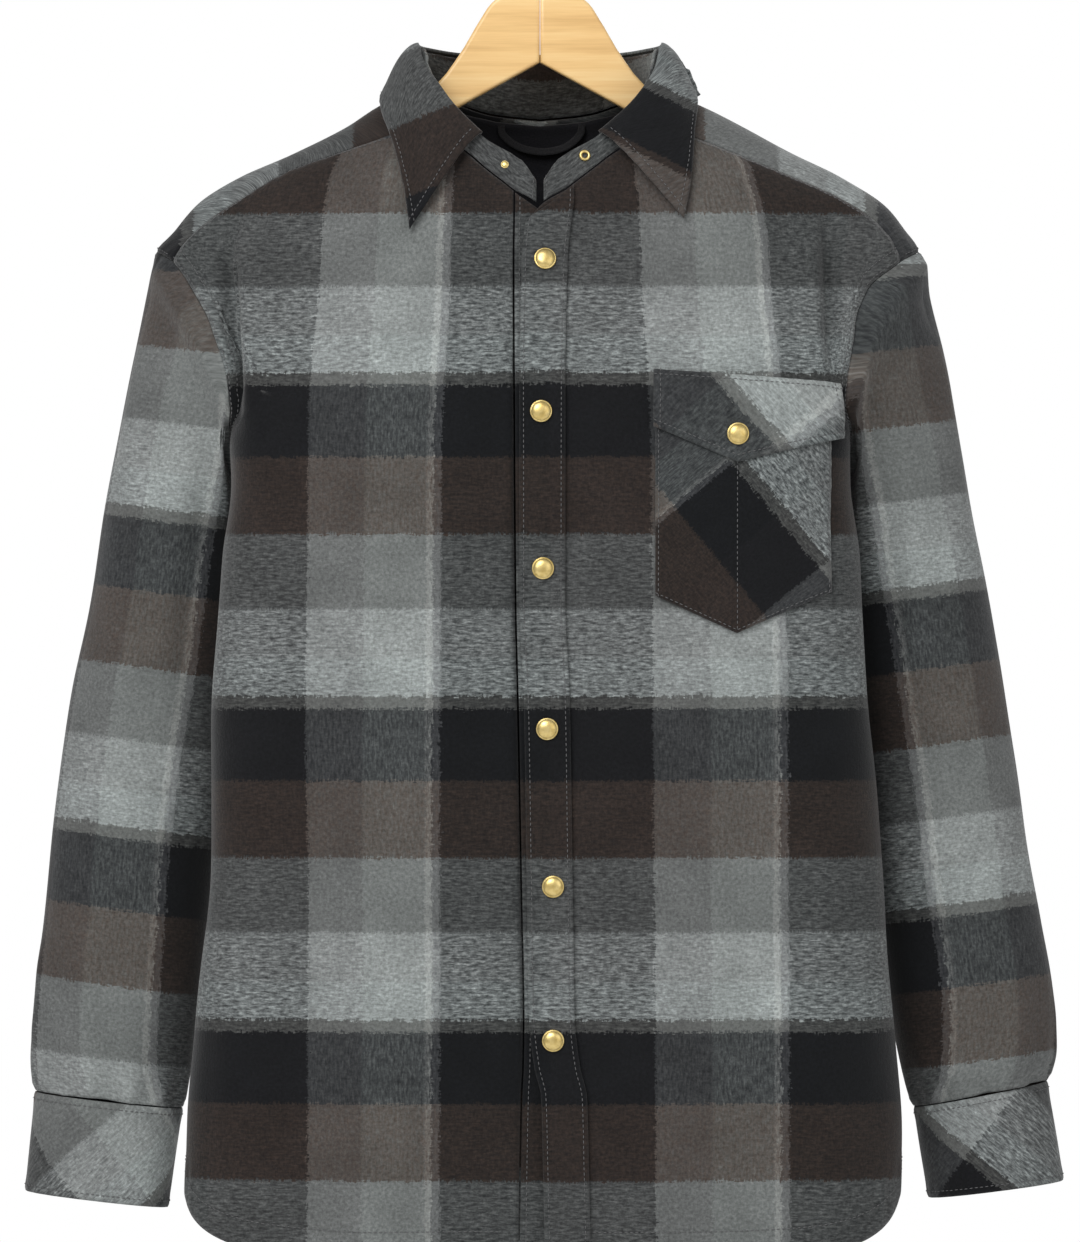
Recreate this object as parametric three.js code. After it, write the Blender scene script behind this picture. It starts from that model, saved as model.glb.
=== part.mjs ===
// A plaid flannel shacket hanging on a wooden hanger, in millimetres.
// X runs to the right as seen from the front, the front faces -Y, and +Z is up.
// The origin is the point where the hanger's hook rests on its rod.
// Left and right are those of a person who looks at the front.
import * as THREE from 'three';

// Cloth and seams
const WALL = 2.4;
const SEAM_GAP = 0.2;
const LAYER = WALL + 0.8;
const CLOSURE_FULL = 28;
const CLOSURE_FADE = 45;
const TAPER_START = -40;
const TAPER_RUN = 110;

// Grid sizes of the panels
const NECK_STEPS = 6;
const NECK_START = { left: 0.05, right: -0.06 };
const NECK_YOKE = 0.48;
const YOKE_STEPS = 9;
const SIDE_STEPS = 12;
const ARM_STEPS = 9;
const BACK_ARM_STEPS = 8;
const UNDERARM_CROWD = 1.6;
const ARMHOLE_STEP = 1;
const BACK_STEPS = 16;
const YOKE_ARM_FRONT = 3;
const YOKE_ARM_BACK = 4;
const CUFF_SIDES = 22;
const STAND_COLUMNS = 44;
const LEAF_COLUMNS = 36;
const STRIP_COLUMNS = 3;
const STRIP_ROWS = 24;
const POCKET_COLUMNS = 16;
const POCKET_ROWS = 7;
const FLAP_ROWS = 4;
const SNAP_SIDES = 12;
const LOOP_STEPS = 12;
const HOOK_STEPS = 36;
const WIRE_SIDES = 8;
const FACING_FRONT = -0.2;
const WIDEST_SHARE = 0.9999;
const SEARCH_STEPS = 20;
const BEHIND_ANGLE = 170;

// Heights of the seams, and the angle of the side seams
const SIDE_ANGLE = 93;
const UNDERARM_Z = -402;
const RIDGE_Z = -248;
const YOKE_END_Z = -255.5;
const BACK_YOKE_Z = -276;
const HEM_FRONT_Z = -932;
const HEM_BACK_Z = -936;
const HEM_RISE = 66;
const HEM_RISE_START = 26;
const HEM_CURVE = 1.25;
const STRIP_HEM_RISE = 0.5;
const FOLD_FADE = 5;
const FOLD_SIDE_FADE = 37;

// Closure, pocket and collar
const PLACKET_WIDTH = 31;
const PLACKET_TOP = { left: -230.5, right: -206.5 };
const PLACKET_EDGE = 0.6;
const UNDER_WIDTH = 32;
const UNDER_START = 1.2;
const UNDER_TOP = { left: -210.5, right: -232 };
const SNAP_SPOTS = table('x z', [
  [3.4, -257.7], [0.7, -359.7], [2, -465], [4.8, -573], [8.8, -679], [8.8, -782.7],
]);
const POCKET = {
  left: 77.5, middle: 132.6, right: 195, top: -341, leftEnd: -483.5, point: -508.6, rightEnd: -481,
};
const FLAP = {
  left: 76.2, middle: 132.6, right: 200.6, leftTop: -332.5, rightTop: -340.7,
  leftEnd: -370, point: -393.7, rightEnd: -377.4,
};
const POCKET_SNAP = { x: 132.6, z: -375 };
const POCKET_LIFT = WALL + 1.3;
const FLAP_LIFT = 2 * WALL + 2.4;
const LEAF_RISE = 4.2;
const LEAF_OUT = 2.6;
const STAND_GAP = 1.5;
const LEAF_BULGE = 6;
const LEAF_UP_HINT = 60;
const SNAP_RADIUS = 7.5;
const SNAP_LIFT = 0.4;
const FLAP_SNAP_LIFT = 0.8;
const BAND_SNAP_LIFT = 0.5;
const BAND_STEP = 0.02;
const NECK_STUD = { along: 0.15, share: 0.55, radius: 2.6 };
const NECK_SOCKET = { along: 1.8, share: 0.6, radius: 4 };
const SNAP_PROFILE = table('radius height', [[0, 0], [1, 0], [1, 0.12], [0.9, 0.28], [0.6, 0.4], [0, 0.46]]);

// The hanger
const WOOD_DEPTH = 13;
const WOOD_BEVEL = 1.5;
const WOOD_CLEARANCE = { left: 6, right: 4.6 };
const WIRE_RADIUS = 1.8;
const HOOK_RADIUS = 21.8;
const HOOK_STEM = table('x z', [[0, -69], [0, -62], [0.8, -54], [4, -46]]);
const HOOK_BEND = { start: -52, end: 205, step: 23 };

// The body's form: a rounded section at each height, with its half widths, depths and squareness.
// The taper narrows each side behind the front edge, where the sleeve hangs.
const FORM = table('z left right front back frontPower backPower taper', [
  [-126, 60, 60, 12, 14, 2.2, 2.2, 0],
  [-137, 84, 84, 22, 30, 2.2, 2.2, 0],
  [-148, 109, 109, 31, 48, 2.2, 2.2, 0],
  [-164, 134, 140, 40, 60, 2.2, 2.2, 0],
  [-182, 169, 174, 46, 67, 2.2, 2.2, 0],
  [-197, 204, 206, 51, 71, 2.2, 2.2, 0],
  [-216, 234, 236, 57, 75, 2.3, 2.3, 0],
  [-233, 249, 249, 61, 78, 2.4, 2.4, 0],
  [-250, 262, 259, 66, 81, 2.5, 2.5, 0],
  [-276, 257, 256, 73, 85, 2.8, 2.6, 0.01],
  [-300, 247, 247, 80, 88, 3.4, 2.7, 0.03],
  [-330, 231, 231, 87, 90, 4.2, 2.8, 0.07],
  [-360, 212, 212, 92, 90, 5.5, 2.8, 0.12],
  [-405, 209, 211, 94, 88, 5.6, 2.8, 0.16],
  [-459, 216, 217, 94, 86, 5.4, 2.8, 0.17],
  [-554, 222, 223, 92, 84, 5, 2.8, 0.17],
  [-677, 225, 233, 90, 80, 4.4, 2.8, 0.17],
  [-782, 235, 242, 88, 76, 4.4, 2.8, 0.17],
  [-840, 241.5, 247, 86, 74, 4.2, 2.8, 0.17],
  [-880, 243, 248, 85, 73, 4, 2.8, 0.17],
  [-940, 240, 245, 84, 72, 4, 2.8, 0.17],
]);

// The neck seam, from the front edge to the middle of the back, by angle round the body
const NECK = table('along angle z', [
  [-0.06, -2, -230], [0, 0.6, -218], [0.05, 4.6, -209], [0.14, 6.4, -204], [0.28, 13.4, -188.5],
  [0.38, 22.3, -175], [NECK_YOKE, 34, -160.5], [0.56, 49.6, -146], [0.63, 67, -139], [0.7, 90, -136.8],
  [0.77, 125.6, -140], [0.84, 148.5, -146], [0.92, 165.3, -153], [1, 180, -156],
]);

// The front yoke seams, by distance from the middle
const YOKE_SEAM = table('z left right', [
  [-160.5, 75, 75], [-171, 105, 103.5], [-183, 140, 134], [-195, 172.7, 164], [-213, 203, 205],
  [-228, 226, 228], [-242, 241, 240], [YOKE_END_Z, 250, 246],
]);

// The armholes, by angle round the body, from the shoulder ridge to the underarm
const ARMHOLE = table('z left right back', [
  [RIDGE_Z, 90, 90, 90], [-250.5, 76, 75, 104], [YOKE_END_Z, 66.7, 65.5, 111.2], [-276, 57.9, 52.2, 119.2],
  [-300, 52.3, 48.6, 121.7], [-330, 50.7, 49, 119], [-358, 55.5, 54.5, 111.4], [-380, 70, 69, 103],
  [-394, 80, 80, 98.5],
  [UNDERARM_Z, SIDE_ANGLE, SIDE_ANGLE, SIDE_ANGLE],
]);

// The front edges: the over edge belongs to the placket, the under edge to the strip below it
const FRONT_EDGE = table('z over under', [
  [-217, -8, -18], [-257, -12.2, -18.4], [-350, -13.9, -18], [-487, -13.9, -17], [-554, -10.9, -15.5],
  [-690, -8.8, -13], [-768, -7.5, -11.6], [-800, -4, -12], [-821, 0.7, -13], [-870, 2, -14],
  [-940, 3.6, -15],
]);

// Large folds of the body: soft ridges, or troughs where the height is negative
const FRONT_FOLDS = table('topX bottomX topZ bottomZ reach height', [
  [-214, -200, -245, -375, 13, 3], [-186, -180, -262, -395, 15, -4],
  [203, 198, -235, -350, 13, 3], [176, 178, -250, -338, 15, -3],
  [-150, -168, -600, -950, 26, -6], [-96, -112, -560, -950, 30, 5],
  [138, 152, -610, -950, 26, -6], [186, 200, -560, -950, 22, 5], [76, 84, -680, -950, 28, 4],
]);
const BACK_FOLDS = table('topX bottomX topZ bottomZ reach height', [
  [-150, -146, -290, -950, 26, 6], [-96, -88, -300, -950, 28, -7], [-30, -34, -320, -950, 30, 5],
  [36, 28, -330, -950, 26, -5], [92, 96, -300, -950, 28, 6], [148, 140, -290, -950, 24, -6],
]);

// Sleeve sections: the outer and the inner end of each, its middle's depth and its half depth
const SLEEVE_COLUMNS = 'outerX outerZ innerX innerZ middleY halfDepth';
const SLEEVE_LEFT = table(SLEEVE_COLUMNS, [
  [266, -262, 196, -411, 12, 66], [270, -278, 198, -420, 18, 63], [278, -318, 200, -434, 25, 59],
  [287, -365, 202, -455, 30, 56], [299, -426, 204, -484, 34, 53], [311, -500, 207, -530, 36, 51],
  [321, -550, 211, -570, 37, 50], [329, -600, 215, -616, 37, 50], [336, -655, 221, -667, 36, 49],
  [340, -706, 227, -716, 35, 48], [345, -752, 233, -761, 33, 46], [349, -797, 240, -806, 30, 42],
  [346.5, -822.4, 245, -834, 29, 36],
]);
const SLEEVE_RIGHT = table(SLEEVE_COLUMNS, [
  [261, -257, 198, -411, 12, 66], [266, -275, 200, -420, 18, 63], [275, -315, 202, -434, 25, 59],
  [285, -363, 204, -455, 30, 56], [297, -426, 206, -484, 34, 53], [311, -500, 209, -530, 36, 51],
  [319.5, -550, 213, -570, 37, 50], [328.5, -600, 218, -616, 37, 50], [336, -655, 225, -667, 36, 49],
  [344, -706, 232, -716, 35, 48], [351.5, -752, 239, -761, 33, 46], [353, -792, 248, -806, 30, 42],
  [348, -815, 256.5, -833, 29, 36],
]);
const CUFF_LEFT = table(SLEEVE_COLUMNS, [
  [346.8, -823.2, 245.3, -834.8, 29, 35.5], [350, -857, 250, -868, 28.5, 35],
  [353, -891, 255, -902.5, 28, 34],
]);
const CUFF_RIGHT = table(SLEEVE_COLUMNS, [
  [348.3, -815.8, 256.8, -833.8, 29, 35.5], [354, -850, 261.5, -865, 28.5, 35],
  [359, -884, 266.5, -896, 28, 34],
]);
const SLEEVE_POWER = 2.3;
const SLEEVE_CLEARANCE = 4;
const ARMHOLE_HALF_DEPTH = 60;
const ARMHOLE_FADE_ROWS = 4;

// Collar: the neckband's rise and lean, and the leaf's outer edge on the body
const STAND = table('along rise lean', [
  [0, 24, 6], [0.14, 22, 6], [0.28, 18, 5], [0.38, 21, 5], [0.5, 26, 5], [0.63, 27, 4], [0.75, 28, 2],
  [0.88, 35, 0], [1, 42, -2],
]);
const LEAF = table('along face leftX leftZ rightX rightZ lift', [
  [0.26, 1, 88, -237, 97, -229, 5], [0.35, 1, 91, -215, 101, -210, 5.5], [0.43, 1, 95, -196, 103, -192, 6],
  [0.52, 1, 101, -174, 104, -170, 6], [0.6, 1, 106.5, -158, 106, -154, 6],
  [0.68, 1, 108, -149, 106, -146.5, 5],
  [0.76, -1, 98, -150, 98, -149, 5], [0.84, -1, 74, -154, 74, -154, 6], [0.92, -1, 40, -160, 40, -160, 7],
  [1, -1, 0, -163, 0, -163, 7],
]);
const LEAF_ROWS = [0, 0.14, 0.42, 0.72, 1];

// The wooden arm's outline: its upper edge near the neck, and its underside
const ARM_NECK_TOP = table('x z', [
  [0, -69.5], [17, -70.5], [29, -75], [36, -82], [52, -109], [64, -126.5], [76, -139],
]);
const ARM_UNDER = table('x z', [[222, -231], [160, -203], [58, -151], [0, -119]]);
const ARM_SHOULDER = { start: -152, end: -206, step: 9 };
const ARM_END = { x: 224, z: -215 };

// Lining and hang loop inside the neck
const LINING = {
  angle: 124, halfWidth: 84, bottom: -300, depth: 2.6, thick: 2, below: 4, columns: 16, rows: 5,
};
const LOOP_THICK = 1.8;
const LOOP_WIDTH = 5;
const LOOP_PATH = table('x y z', [
  [-27, 47.4, -158], [-25, 49, -166], [-14, 51, -174], [2, 52, -177], [17, 51, -174], [27, 49, -166],
  [29, 47.2, -158],
]);

const plaid = cloth(0x5b5c5f);
const lining = cloth(0x151518);
const wood = new THREE.MeshStandardMaterial({ color: 0xd9ab6f, roughness: 0.5, metalness: 0 });
const steel = new THREE.MeshStandardMaterial({ color: 0xb9bcc0, roughness: 0.3, metalness: 1 });
const brass = new THREE.MeshStandardMaterial({ color: 0xb9953f, roughness: 0.35, metalness: 1 });

function cloth(color) {
  return new THREE.MeshStandardMaterial({ color, roughness: 0.95, metalness: 0 });
}

// Turns rows of numbers into rows with named columns
function table(columns, rows) {
  const names = columns.split(' ');
  return rows.map((row) => Object.fromEntries(names.map((name, i) => [name, row[i]])));
}

// Reads a table between its rows along one column, with smooth curves that never overshoot a row
function sample(rows, key, value) {
  const rising = rows[rows.length - 1][key] > rows[0][key] ? 1 : -1;
  let i = 0;
  while (i < rows.length - 2 && rising * value > rising * rows[i + 1][key]) {
    i += 1;
  }
  const span = rows[i + 1][key] - rows[i][key];
  const t = THREE.MathUtils.clamp((value - rows[i][key]) / span, 0, 1);
  const result = {};
  for (const name of Object.keys(rows[0])) {
    const slope = (k) => (rows[k + 1][name] - rows[k][name]) / (rows[k + 1][key] - rows[k][key]);
    const here = slope(i);
    const start = i > 0 ? softSlope(slope(i - 1), here) : here;
    const end = i < rows.length - 2 ? softSlope(here, slope(i + 1)) : here;
    const a = rows[i][name];
    const b = rows[i + 1][name];
    const s = t * t * (3 - 2 * t);
    result[name] = a + (b - a) * s + span * (start * t * (1 - t) ** 2 - end * t * t * (1 - t));
  }
  result[key] = value;
  return result;
}

function softSlope(before, after) {
  return before * after <= 0 ? 0 : (2 * before * after) / (before + after);
}

function smooth(t) {
  const c = THREE.MathUtils.clamp(t, 0, 1);
  return c * c * (3 - 2 * c);
}

function lerp(a, b, t) {
  return a + (b - a) * t;
}

// A point of the body's outer form at an angle from the middle of the front, without folds
function formPoint(angle, z) {
  const form = sample(FORM, 'z', z);
  const s = Math.sin(THREE.MathUtils.degToRad(angle));
  const c = Math.cos(THREE.MathUtils.degToRad(angle));
  const power = c > 0 ? form.frontPower : form.backPower;
  const reach = (Math.abs(s) ** power + Math.abs(c) ** power) ** (-1 / power);
  const y = -(c > 0 ? form.front : form.back) * reach * c;
  const narrow = 1 - form.taper * smooth((y - TAPER_START) / TAPER_RUN);
  return new THREE.Vector3((s < 0 ? form.left : form.right) * reach * s * narrow, y, z);
}

function formNormal(angle, z) {
  const step = 0.5;
  const round = formPoint(angle + step, z).sub(formPoint(angle - step, z));
  const up = formPoint(angle, z + step).sub(formPoint(angle, z - step));
  return round.cross(up).normalize();
}

// The angle of a point on the front (face 1) or the back (face -1) at a distance from the middle
function angleOfX(x, z, face) {
  const form = sample(FORM, 'z', z);
  const power = face > 0 ? form.frontPower : form.backPower;
  const share = Math.min(Math.abs(x) / (x < 0 ? form.left : form.right), WIDEST_SHARE) ** power;
  const angle = THREE.MathUtils.radToDeg(Math.atan((share / (1 - share)) ** (1 / power)));
  return (x < 0 ? -1 : 1) * (face > 0 ? angle : 180 - angle);
}

function foldHeight(point) {
  let height = 0;
  for (const fold of point.y < 0 ? FRONT_FOLDS : BACK_FOLDS) {
    const t = (point.z - fold.topZ) / (fold.bottomZ - fold.topZ);
    const across = (point.x - lerp(fold.topX, fold.bottomX, t)) / fold.reach;
    const pastHem = fold.bottomZ < HEM_BACK_Z ? 1 : 0;
    const fade = smooth(t * FOLD_FADE) * smooth((1 - t) * FOLD_FADE + pastHem);
    height += fold.height * fade * Math.exp(-across * across);
  }
  return height * smooth(Math.abs(point.y) / FOLD_SIDE_FADE);
}

// A point of the cloth's outer face, moved out by a lift, with the direction that it faces
function clothPoint(angle, z, lift = 0) {
  const p = formPoint(angle, z);
  const n = formNormal(angle, z);
  p.addScaledVector(n, foldHeight(p) + lift);
  return { p, n };
}

// The upper front rises over the under strip near its edge
function closureLift(x) {
  return LAYER * (1 - smooth((x - CLOSURE_FULL) / CLOSURE_FADE));
}

// The point of a panel's own facets in front of a place, moved out by a lift
function panelPoint(grid, x, z, lift) {
  let best = { inside: -Infinity };
  for (let j = 0; j < grid.length - 1; j += 1) {
    for (let i = 0; i < grid[0].length - 1; i += 1) {
      const [a, b, c, d] = [grid[j][i], grid[j][i + 1], grid[j + 1][i + 1], grid[j + 1][i]];
      for (const corners of [[a, b, c], [a, c, d]]) {
        const share = shares(corners, x, z);
        const inside = Math.min(...share);
        if (inside > best.inside && corners[0].n.y < FACING_FRONT) {
          best = { inside, corners, share };
        }
      }
    }
  }
  const blend = (key) => best.corners.reduce((sum, corner, k) => sum.addScaledVector(corner[key],
    best.share[k]), new THREE.Vector3());
  const n = blend('n').normalize();
  return { p: blend('p').addScaledVector(n, lift), n };
}

// The weights of a triangle's corners at a place, seen from the front
function shares(corners, x, z) {
  const [a, b, c] = corners.map(({ p }) => p);
  const area = (b.x - a.x) * (c.z - a.z) - (c.x - a.x) * (b.z - a.z);
  const second = ((x - a.x) * (c.z - a.z) - (c.x - a.x) * (z - a.z)) / area;
  const third = ((b.x - a.x) * (z - a.z) - (x - a.x) * (b.z - a.z)) / area;
  return [1 - second - third, second, third];
}

function hemZ(angle) {
  const away = Math.abs(angle) > SIDE_ANGLE ? 180 - Math.abs(angle) : Math.abs(angle);
  const low = Math.abs(angle) > SIDE_ANGLE ? HEM_BACK_Z : HEM_FRONT_Z;
  const side = HEM_FRONT_Z + HEM_RISE;
  const share = smooth((away - HEM_RISE_START) / (SIDE_ANGLE - HEM_RISE_START));
  return lerp(low, side, share ** HEM_CURVE);
}

// Fills four edges, given as angles and heights, with a grid
function patch(bottom, top, start, end, across, up) {
  const mix = (a, b, t) => [lerp(a[0], b[0], t), lerp(a[1], b[1], t)];
  return up.map((v, j) => across.map((u, i) => {
    const rise = mix(bottom[i], top[i], v);
    const run = mix(start[j], end[j], u);
    const low = mix(bottom[0], bottom[bottom.length - 1], u);
    const corners = mix(low, mix(top[0], top[top.length - 1], u), v);
    return [rise[0] + run[0] - corners[0], rise[1] + run[1] - corners[1]];
  }));
}

function steps(count) {
  return Array.from({ length: count + 1 }, (_, i) => i / count);
}

// Draws the open edges of a grid back, so that neighbours keep a seam's gap
function drawBack(grid, closed) {
  const move = (from, towards) => towards.clone().sub(from).normalize().multiplyScalar(SEAM_GAP);
  const last = grid.length - 1;
  const shifts = [];
  grid[0].forEach((node, i) => shifts.push([node, move(node.p, grid[1][i].p)]));
  grid[last].forEach((node, i) => shifts.push([node, move(node.p, grid[last - 1][i].p)]));
  if (!closed) {
    for (const row of grid) {
      shifts.push([row[0], move(row[0].p, row[1].p)]);
      shifts.push([row[row.length - 1], move(row[row.length - 1].p, row[row.length - 2].p)]);
    }
  }
  shifts.forEach(([node, shift]) => node.p.add(shift));
  return grid;
}

// Gives each point of a grid the direction that it faces, on the side of the hint
function face(points, closed, hint) {
  const width = points[0].length;
  const pick = (row, i) => row[closed ? (i + width) % width : THREE.MathUtils.clamp(i, 0, width - 1)];
  const nodes = points.map((row, j) => row.map((p, i) => {
    const round = pick(row, i + 1).clone().sub(pick(row, i - 1));
    const above = pick(points[Math.min(j + 1, points.length - 1)], i);
    const below = pick(points[Math.max(j - 1, 0)], i);
    return { p: p.clone(), n: round.cross(above.clone().sub(below)).normalize() };
  }));
  const sum = nodes.flat().reduce((total, node) => total + node.n.dot(hint(node.p)), 0);
  if (sum < 0) {
    nodes.flat().forEach((node) => node.n.negate());
  }
  return nodes;
}

// A closed wall: the grid is its outer face, and the inner face lies one thickness behind
function wall(grid, thickness, closed) {
  const rows = grid.length;
  const width = grid[0].length;
  const positions = [];
  for (const node of grid.flat()) {
    positions.push(...node.p.toArray());
  }
  for (const node of grid.flat()) {
    positions.push(...node.p.clone().addScaledVector(node.n, -thickness).toArray());
  }
  const outer = (j, i) => j * width + (i % width);
  const inner = (j, i) => rows * width + outer(j, i);
  const faces = [];
  const quad = (a, b, c, d) => faces.push(a, b, c, a, c, d);
  const spans = closed ? width : width - 1;
  for (let j = 0; j < rows - 1; j += 1) {
    for (let i = 0; i < spans; i += 1) {
      quad(outer(j, i), outer(j, i + 1), outer(j + 1, i + 1), outer(j + 1, i));
      quad(inner(j, i), inner(j + 1, i), inner(j + 1, i + 1), inner(j, i + 1));
    }
  }
  for (let i = 0; i < spans; i += 1) {
    quad(outer(0, i), inner(0, i), inner(0, i + 1), outer(0, i + 1));
    quad(outer(rows - 1, i), outer(rows - 1, i + 1), inner(rows - 1, i + 1), inner(rows - 1, i));
  }
  if (!closed) {
    for (let j = 0; j < rows - 1; j += 1) {
      quad(outer(j, 0), outer(j + 1, 0), inner(j + 1, 0), inner(j, 0));
      quad(outer(j, width - 1), inner(j, width - 1), inner(j + 1, width - 1), outer(j + 1, width - 1));
    }
  }
  return solid(positions, faces);
}

// A geometry whose faces all point out
function solid(positions, faces) {
  const at = (i) => new THREE.Vector3(positions[3 * i], positions[3 * i + 1], positions[3 * i + 2]);
  let volume = 0;
  for (let k = 0; k < faces.length; k += 3) {
    volume += at(faces[k]).dot(at(faces[k + 1]).cross(at(faces[k + 2])));
  }
  if (volume < 0) {
    for (let k = 0; k < faces.length; k += 3) {
      [faces[k + 1], faces[k + 2]] = [faces[k + 2], faces[k + 1]];
    }
  }
  const geometry = new THREE.BufferGeometry();
  geometry.setAttribute('position', new THREE.Float32BufferAttribute(positions, 3));
  geometry.setIndex(faces);
  return geometry;
}

function named(name, geometry, material) {
  const mesh = new THREE.Mesh(geometry, material);
  mesh.name = name;
  return mesh;
}

// Points along a seam, each an angle and a height. The side is -1 on the left and 1 on the right.
function neckPart(side) {
  const start = side < 0 ? NECK_START.left : NECK_START.right;
  return steps(NECK_STEPS).map((t) => {
    const spot = sample(NECK, 'along', lerp(start, NECK_YOKE, t));
    return [side * spot.angle, spot.z];
  });
}

function yokeSeam(side) {
  const start = YOKE_SEAM[0].z;
  return steps(YOKE_STEPS).map((t) => {
    const z = lerp(start, YOKE_END_Z, t);
    const spot = sample(YOKE_SEAM, 'z', z);
    return [angleOfX(side * (side < 0 ? spot.left : spot.right), z, 1), z];
  });
}

// Heights along an armhole, closer together towards the underarm
function armholeZ(fromZ, toZ, t) {
  if (fromZ === UNDERARM_Z) {
    return lerp(fromZ, toZ, t ** UNDERARM_CROWD);
  }
  return toZ === UNDERARM_Z ? lerp(toZ, fromZ, (1 - t) ** UNDERARM_CROWD) : lerp(fromZ, toZ, t);
}

function armholeFront(side, fromZ, toZ, count) {
  return steps(count).map((t) => {
    const z = armholeZ(fromZ, toZ, t);
    const spot = sample(ARMHOLE, 'z', z);
    return [side * (side < 0 ? spot.left : spot.right), z];
  });
}

function armholeBack(side, fromZ, toZ, count) {
  return steps(count).map((t) => {
    const z = armholeZ(fromZ, toZ, t);
    return [side * sample(ARMHOLE, 'z', z).back, z];
  });
}

function sideSeam(side) {
  const bottom = hemZ(SIDE_ANGLE);
  return steps(SIDE_STEPS).map((t) => [side * SIDE_ANGLE, lerp(bottom, UNDERARM_Z, t)]);
}

function toCloth(grid, liftAt) {
  return grid.map((row) => row.map(([angle, z]) => clothPoint(angle, z, liftAt(formPoint(angle, z)))));
}

// Keeps the columns of a front inside the hollow curve of its armhole
function keepInsideArmhole(grid, column) {
  for (const row of grid) {
    for (let i = row.length - 2; i > 0; i -= 1) {
      const [angle, z] = row[i];
      const seam = z > UNDERARM_Z ? sample(ARMHOLE, 'z', z)[column] : SIDE_ANGLE;
      const most = seam - ARMHOLE_STEP * (row.length - 1 - i);
      if (z < YOKE_END_Z && Math.abs(angle) > most) {
        row[i][0] = Math.sign(angle) * most;
      }
    }
  }
}

function frontGrid(side) {
  const seam = yokeSeam(side);
  const neck = neckPart(side);
  neck[NECK_STEPS] = seam[0];
  const end = [...sideSeam(side), ...armholeFront(side, UNDERARM_Z, YOKE_END_Z, ARM_STEPS).slice(1)];
  end[end.length - 1] = seam[YOKE_STEPS];
  const up = end.map(([, z]) => (z - end[0][1]) / (YOKE_END_Z - end[0][1]));
  const start = up.map((v) => {
    const z = lerp(HEM_FRONT_Z, neck[0][1], v);
    const edge = sample(FRONT_EDGE, 'z', z);
    return [angleOfX(side < 0 ? edge.under : edge.over + PLACKET_EDGE, z, 1), z];
  });
  const top = [...neck, ...seam.slice(1)];
  top[0] = start[start.length - 1];
  const across = steps(NECK_STEPS + YOKE_STEPS);
  const bottom = across.map((u) => {
    const angle = lerp(start[0][0], side * SIDE_ANGLE, u);
    return [angle, hemZ(angle)];
  });
  start[0] = bottom[0];
  const grid = patch(bottom, top, start, end, across, up);
  keepInsideArmhole(grid, side < 0 ? 'left' : 'right');
  const liftAt = side < 0 ? () => 0 : (p) => (p.y < 0 ? closureLift(p.x) : 0);
  return drawBack(toCloth(grid, liftAt));
}

function buildBack() {
  const turn = (pairs) => pairs.map(([angle, z]) => [angle < 0 ? angle + 360 : angle, z]);
  const edge = (side) => turn([...sideSeam(side),
    ...armholeBack(side, UNDERARM_Z, BACK_YOKE_Z, BACK_ARM_STEPS).slice(1)]);
  const start = edge(1);
  const end = edge(-1);
  const across = steps(BACK_STEPS);
  const up = start.map(([, z]) => (z - start[0][1]) / (BACK_YOKE_Z - start[0][1]));
  const bottom = across.map((u) => {
    const angle = lerp(SIDE_ANGLE, 360 - SIDE_ANGLE, u);
    return [angle, hemZ(angle > 180 ? angle - 360 : angle)];
  });
  const grid = patch(bottom, backYokeSeam(), start, end, across, up);
  return wall(drawBack(toCloth(grid, () => 0)), WALL, false);
}

function backYokeSeam() {
  const side = sample(ARMHOLE, 'z', BACK_YOKE_Z).back;
  return steps(BACK_STEPS).map((u) => [lerp(side, 360 - side, u), BACK_YOKE_Z]);
}

// The yoke's lower edge, from the right front seam over the shoulder and across the back to the left one
function yokeOuter() {
  const overShoulder = (side) => [
    ...armholeFront(side, YOKE_END_Z, RIDGE_Z, YOKE_ARM_FRONT),
    ...armholeBack(side, RIDGE_Z, BACK_YOKE_Z, YOKE_ARM_BACK).slice(1),
  ];
  const right = overShoulder(1);
  const left = overShoulder(-1).map(([angle, z]) => [angle + 360, z]).reverse();
  left[left.length - 1] = [yokeSeam(-1)[YOKE_STEPS][0] + 360, YOKE_END_Z];
  right[0] = yokeSeam(1)[YOKE_STEPS];
  return [...right, ...backYokeSeam().slice(1, BACK_STEPS), ...left];
}

// The neck seam's points over the yoke, from the right front seam round the back to the left one
function yokeNeck(count) {
  return steps(count).map((t) => {
    const fromRight = t <= 0.5;
    const spot = sample(NECK, 'along', lerp(NECK_YOKE, 1, fromRight ? 2 * t : 2 - 2 * t));
    return [fromRight ? spot.angle : 360 - spot.angle, spot.z];
  });
}

function buildYoke() {
  const outer = yokeOuter();
  const neck = yokeNeck(outer.length - 1);
  const rightSeam = yokeSeam(1).reverse();
  const leftSeam = yokeSeam(-1).map(([angle, z]) => [angle + 360, z]).reverse();
  neck[0] = rightSeam[YOKE_STEPS];
  neck[neck.length - 1] = leftSeam[YOKE_STEPS];
  const up = steps(YOKE_STEPS);
  const grid = patch(outer, neck, rightSeam, leftSeam, steps(outer.length - 1), up);
  return wall(drawBack(toCloth(grid, () => 0)), WALL, false);
}

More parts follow.
